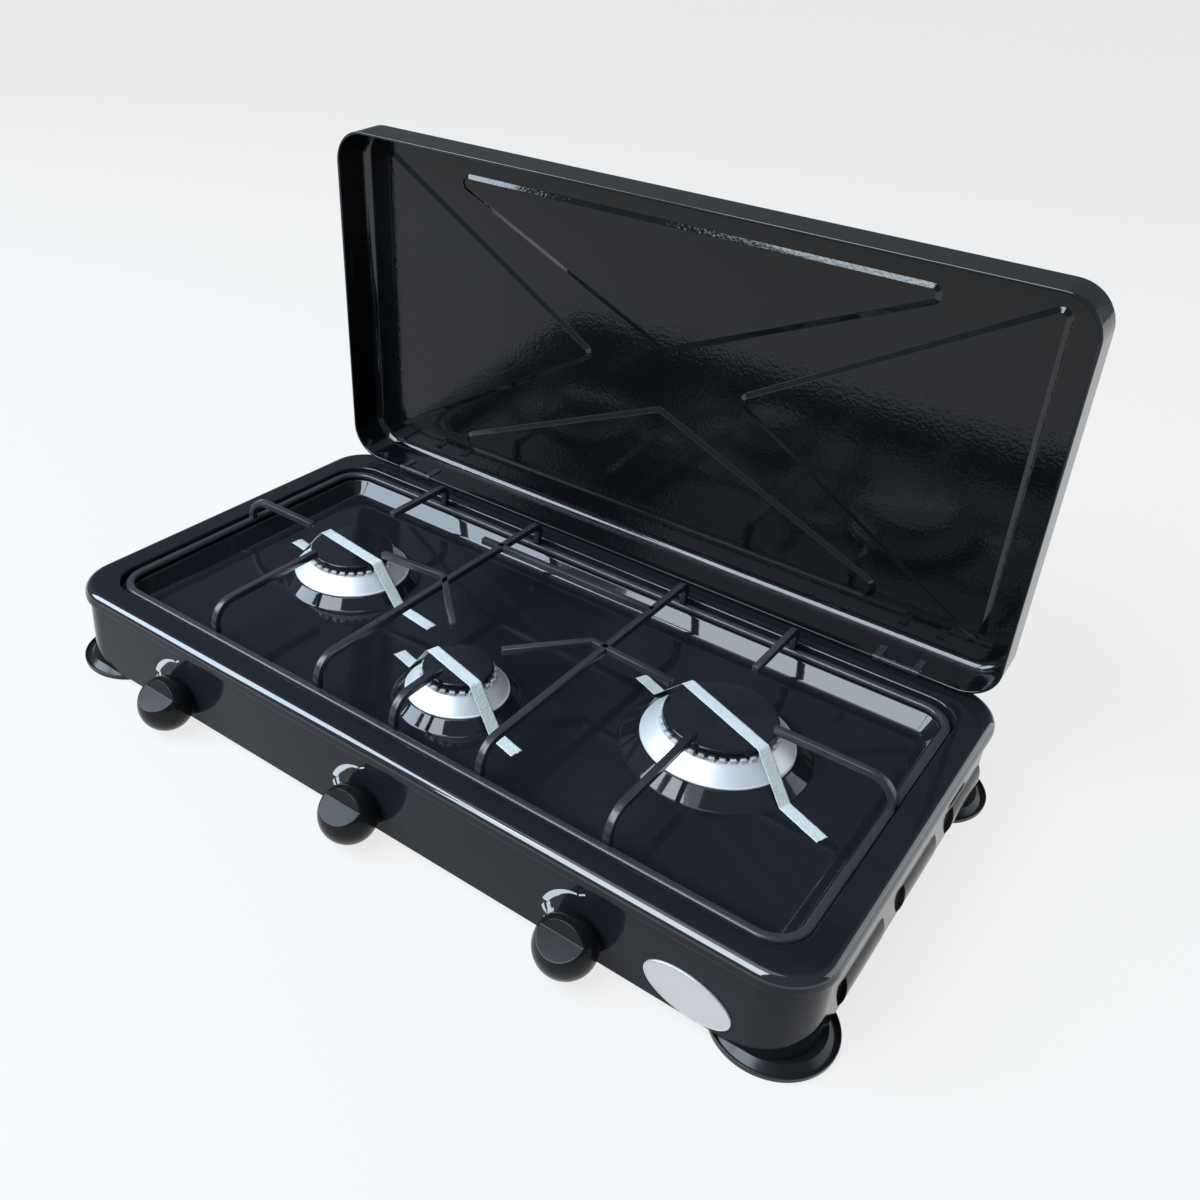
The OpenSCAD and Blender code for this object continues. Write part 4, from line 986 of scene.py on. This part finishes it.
def mould_feet():
    """Flared feet with a gully and a raised lip."""
    for tag, sx, sy in (("fl", -1, -1), ("fr", 1, -1), ("bl", -1, 1), ("br", 1, 1)):
        bm = bmesh.new()
        r = FOOT_R
        line = soften([(2.2, 3, 0), (6, 3, 0.3), (6, 0, 0.5), (r - 0.5, 0, 1.2), (r, 4.3, 0.7),
                       (r - 1.2, 4.6, 0.5), (r - 2.0, 2.7, 0.4), (r - 3.0, 2.7, 0.4), (r - 8.0, 6.8, 1.0),
                       (18, 6.9, 0.8), (17, 7, 0.2), (12, 7, 0), (12, 8, 0), (2.2, 8, 0), (2.2, 3, 0)], 5)
        turn_profile(bm, line, sx * FOOT_X, sy * FOOT_Y, 96)
        piece("foot_shell_" + tag, bm, RUBBER, body="base", crease=60, weigh=True,
              replaces=("foot_" + tag,))


def fit_badge():
    """Blank oval plate, gently crowned, with a raised rim."""
    bm = bmesh.new()
    n, lean = 96, math.radians(BADGE_TILT)
    loops = []
    for inset, out in ((0.0, 0.0), (0.0, 1.1), (0.2, 1.32), (0.6, 1.4), (1.0, 1.32), (1.2, 1.05), (1.6, 1.0),
                       (8.0, 1.14), (12.0, 1.2)):
        loop = []
        for i in range(n):
            a = 2 * math.pi * i / n
            px, pz = (BADGE_RX - inset) * math.cos(a), (BADGE_RZ - inset) * math.sin(a)
            x = BADGE_X + px * math.cos(lean) - pz * math.sin(lean)
            z = BADGE_Z + px * math.sin(lean) + pz * math.cos(lean)
            loop.append(bm.verts.new(at_mm(x, -PANEL_Y - out, z)))
        loops.append(loop)
    close(bm, loops)
    piece("badge_shell", bm, PLATE, body="base", crease=50, replaces=("badge",))


# ------------------------------------------------------------------ carried-over pieces
def coat(names, material):
    """Gives solids that stay in the scene their finish."""
    for name in names.split():
        mesh = nodes[name].data
        mesh.materials.clear()
        mesh.materials.append(material)


coat("lid_lugs hinge_pins hinge_knuckles", HINGE_ENAMEL)
coat("corner_gussets foot_screws burner_screws rail_brackets tap_bonnets "
     "bonnet_screws tap_clamps clamp_nuts gas_rail tap_spindle_l tap_spindle_c tap_spindle_r tap_spring_l "
     "tap_spring_c tap_spring_r tap_washer_l tap_washer_c tap_washer_r", PLATED)
coat("injectors inlet_nozzle rail_plug tap_bodies tap_plug_l tap_plug_c tap_plug_r", BRASS)
coat("burner_cup_l burner_cup_c burner_cup_r", CAST)
coat("lid_stops grid_buffers", RUBBER)
coat("badge_pins", PLATE)

press_casing()
press_louvres()
print_marks()
press_lid()
weld_support()
make_burners()
stick_tapes()
mould_knobs()
mould_feet()
fit_badge()


# ------------------------------------------------------------------ camera, light, floor
def set_camera():
    """Camera in front and to the right, a little rolled, with its lens shifted."""
    data = bpy.data.cameras.new("camera")
    cam = bpy.data.objects.new("camera", data)
    bpy.context.scene.collection.objects.link(cam)
    focal, cx, cy, size = 1191.23, 528.19, 539.75, 1200.0
    az, el, roll = math.radians(34.12), math.radians(29.49), math.radians(3.97)
    look = Vector((-math.sin(az) * math.cos(el), math.cos(az) * math.cos(el), -math.sin(el)))
    right = Vector((math.cos(az), math.sin(az), 0))
    up = right.cross(look)
    side = right * math.cos(roll) + up * math.sin(roll)
    top = up * math.cos(roll) - right * math.sin(roll)
    eye = at_mm(434.2, -639.0, 602.5)
    cam.matrix_world = Matrix.Translation(eye) @ Matrix((side, top, -look)).transposed().to_4x4()
    data.sensor_width = 36.0
    data.lens = focal / size * data.sensor_width
    data.shift_x = (size / 2 - cx) / size
    data.shift_y = (cy - size / 2) / size
    data.clip_end = 50
    bpy.context.scene.camera = cam


def soft_light(name, place, width, depth, watts, colour):
    """A soft window of light that faces the cooker."""
    data = bpy.data.lights.new(name, "AREA")
    data.shape, data.size, data.size_y, data.energy, data.color = "RECTANGLE", width, depth, watts, colour
    obj = bpy.data.objects.new(name, data)
    bpy.context.scene.collection.objects.link(obj)
    obj.location = place
    obj.rotation_euler = (Vector((0, 0, 0.1)) - Vector(place)).to_track_quat("-Z", "Y").to_euler()


def set_room():
    """Pale floor, dim sky and four soft windows."""
    bm = bmesh.new()
    bmesh.ops.create_grid(bm, x_segments=2, y_segments=2, size=15.0)
    floor = link_mesh("floor", bm)
    f = Finish("pale_floor", Base_Color=(0.10, 0.10, 0.10), Roughness=0.9, Specular_IOR_Level=0.1)
    f.set("Emission Color", (1.0, 1.0, 1.0))
    f.set("Emission Strength", 0.78)
    floor.data.materials.append(f.material)
    world = bpy.data.worlds.new("studio")
    bpy.context.scene.world = world
    world.use_nodes = True
    back = world.node_tree.nodes["Background"]
    back.inputs[0].default_value = (0.78, 0.89, 1.0, 1)
    back.inputs[1].default_value = 0.26
    soft_light("window_left", (-1.75, -1.25, 1.75), 1.2, 1.9, 72, (0.72, 0.86, 1.0))
    soft_light("window_right", (-0.40, -1.75, 1.95), 1.4, 1.9, 80, (0.78, 0.90, 1.0))
    soft_light("skylight", (-0.2, -0.3, 2.3), 1.5, 1.2, 10, (0.80, 0.90, 1.0))
    soft_light("far_wall", (2.4, 1.8, 0.9), 3.0, 1.7, 24, (0.88, 0.94, 1.0))
    bpy.context.scene.view_settings.view_transform = "Standard"


set_camera()
set_room()
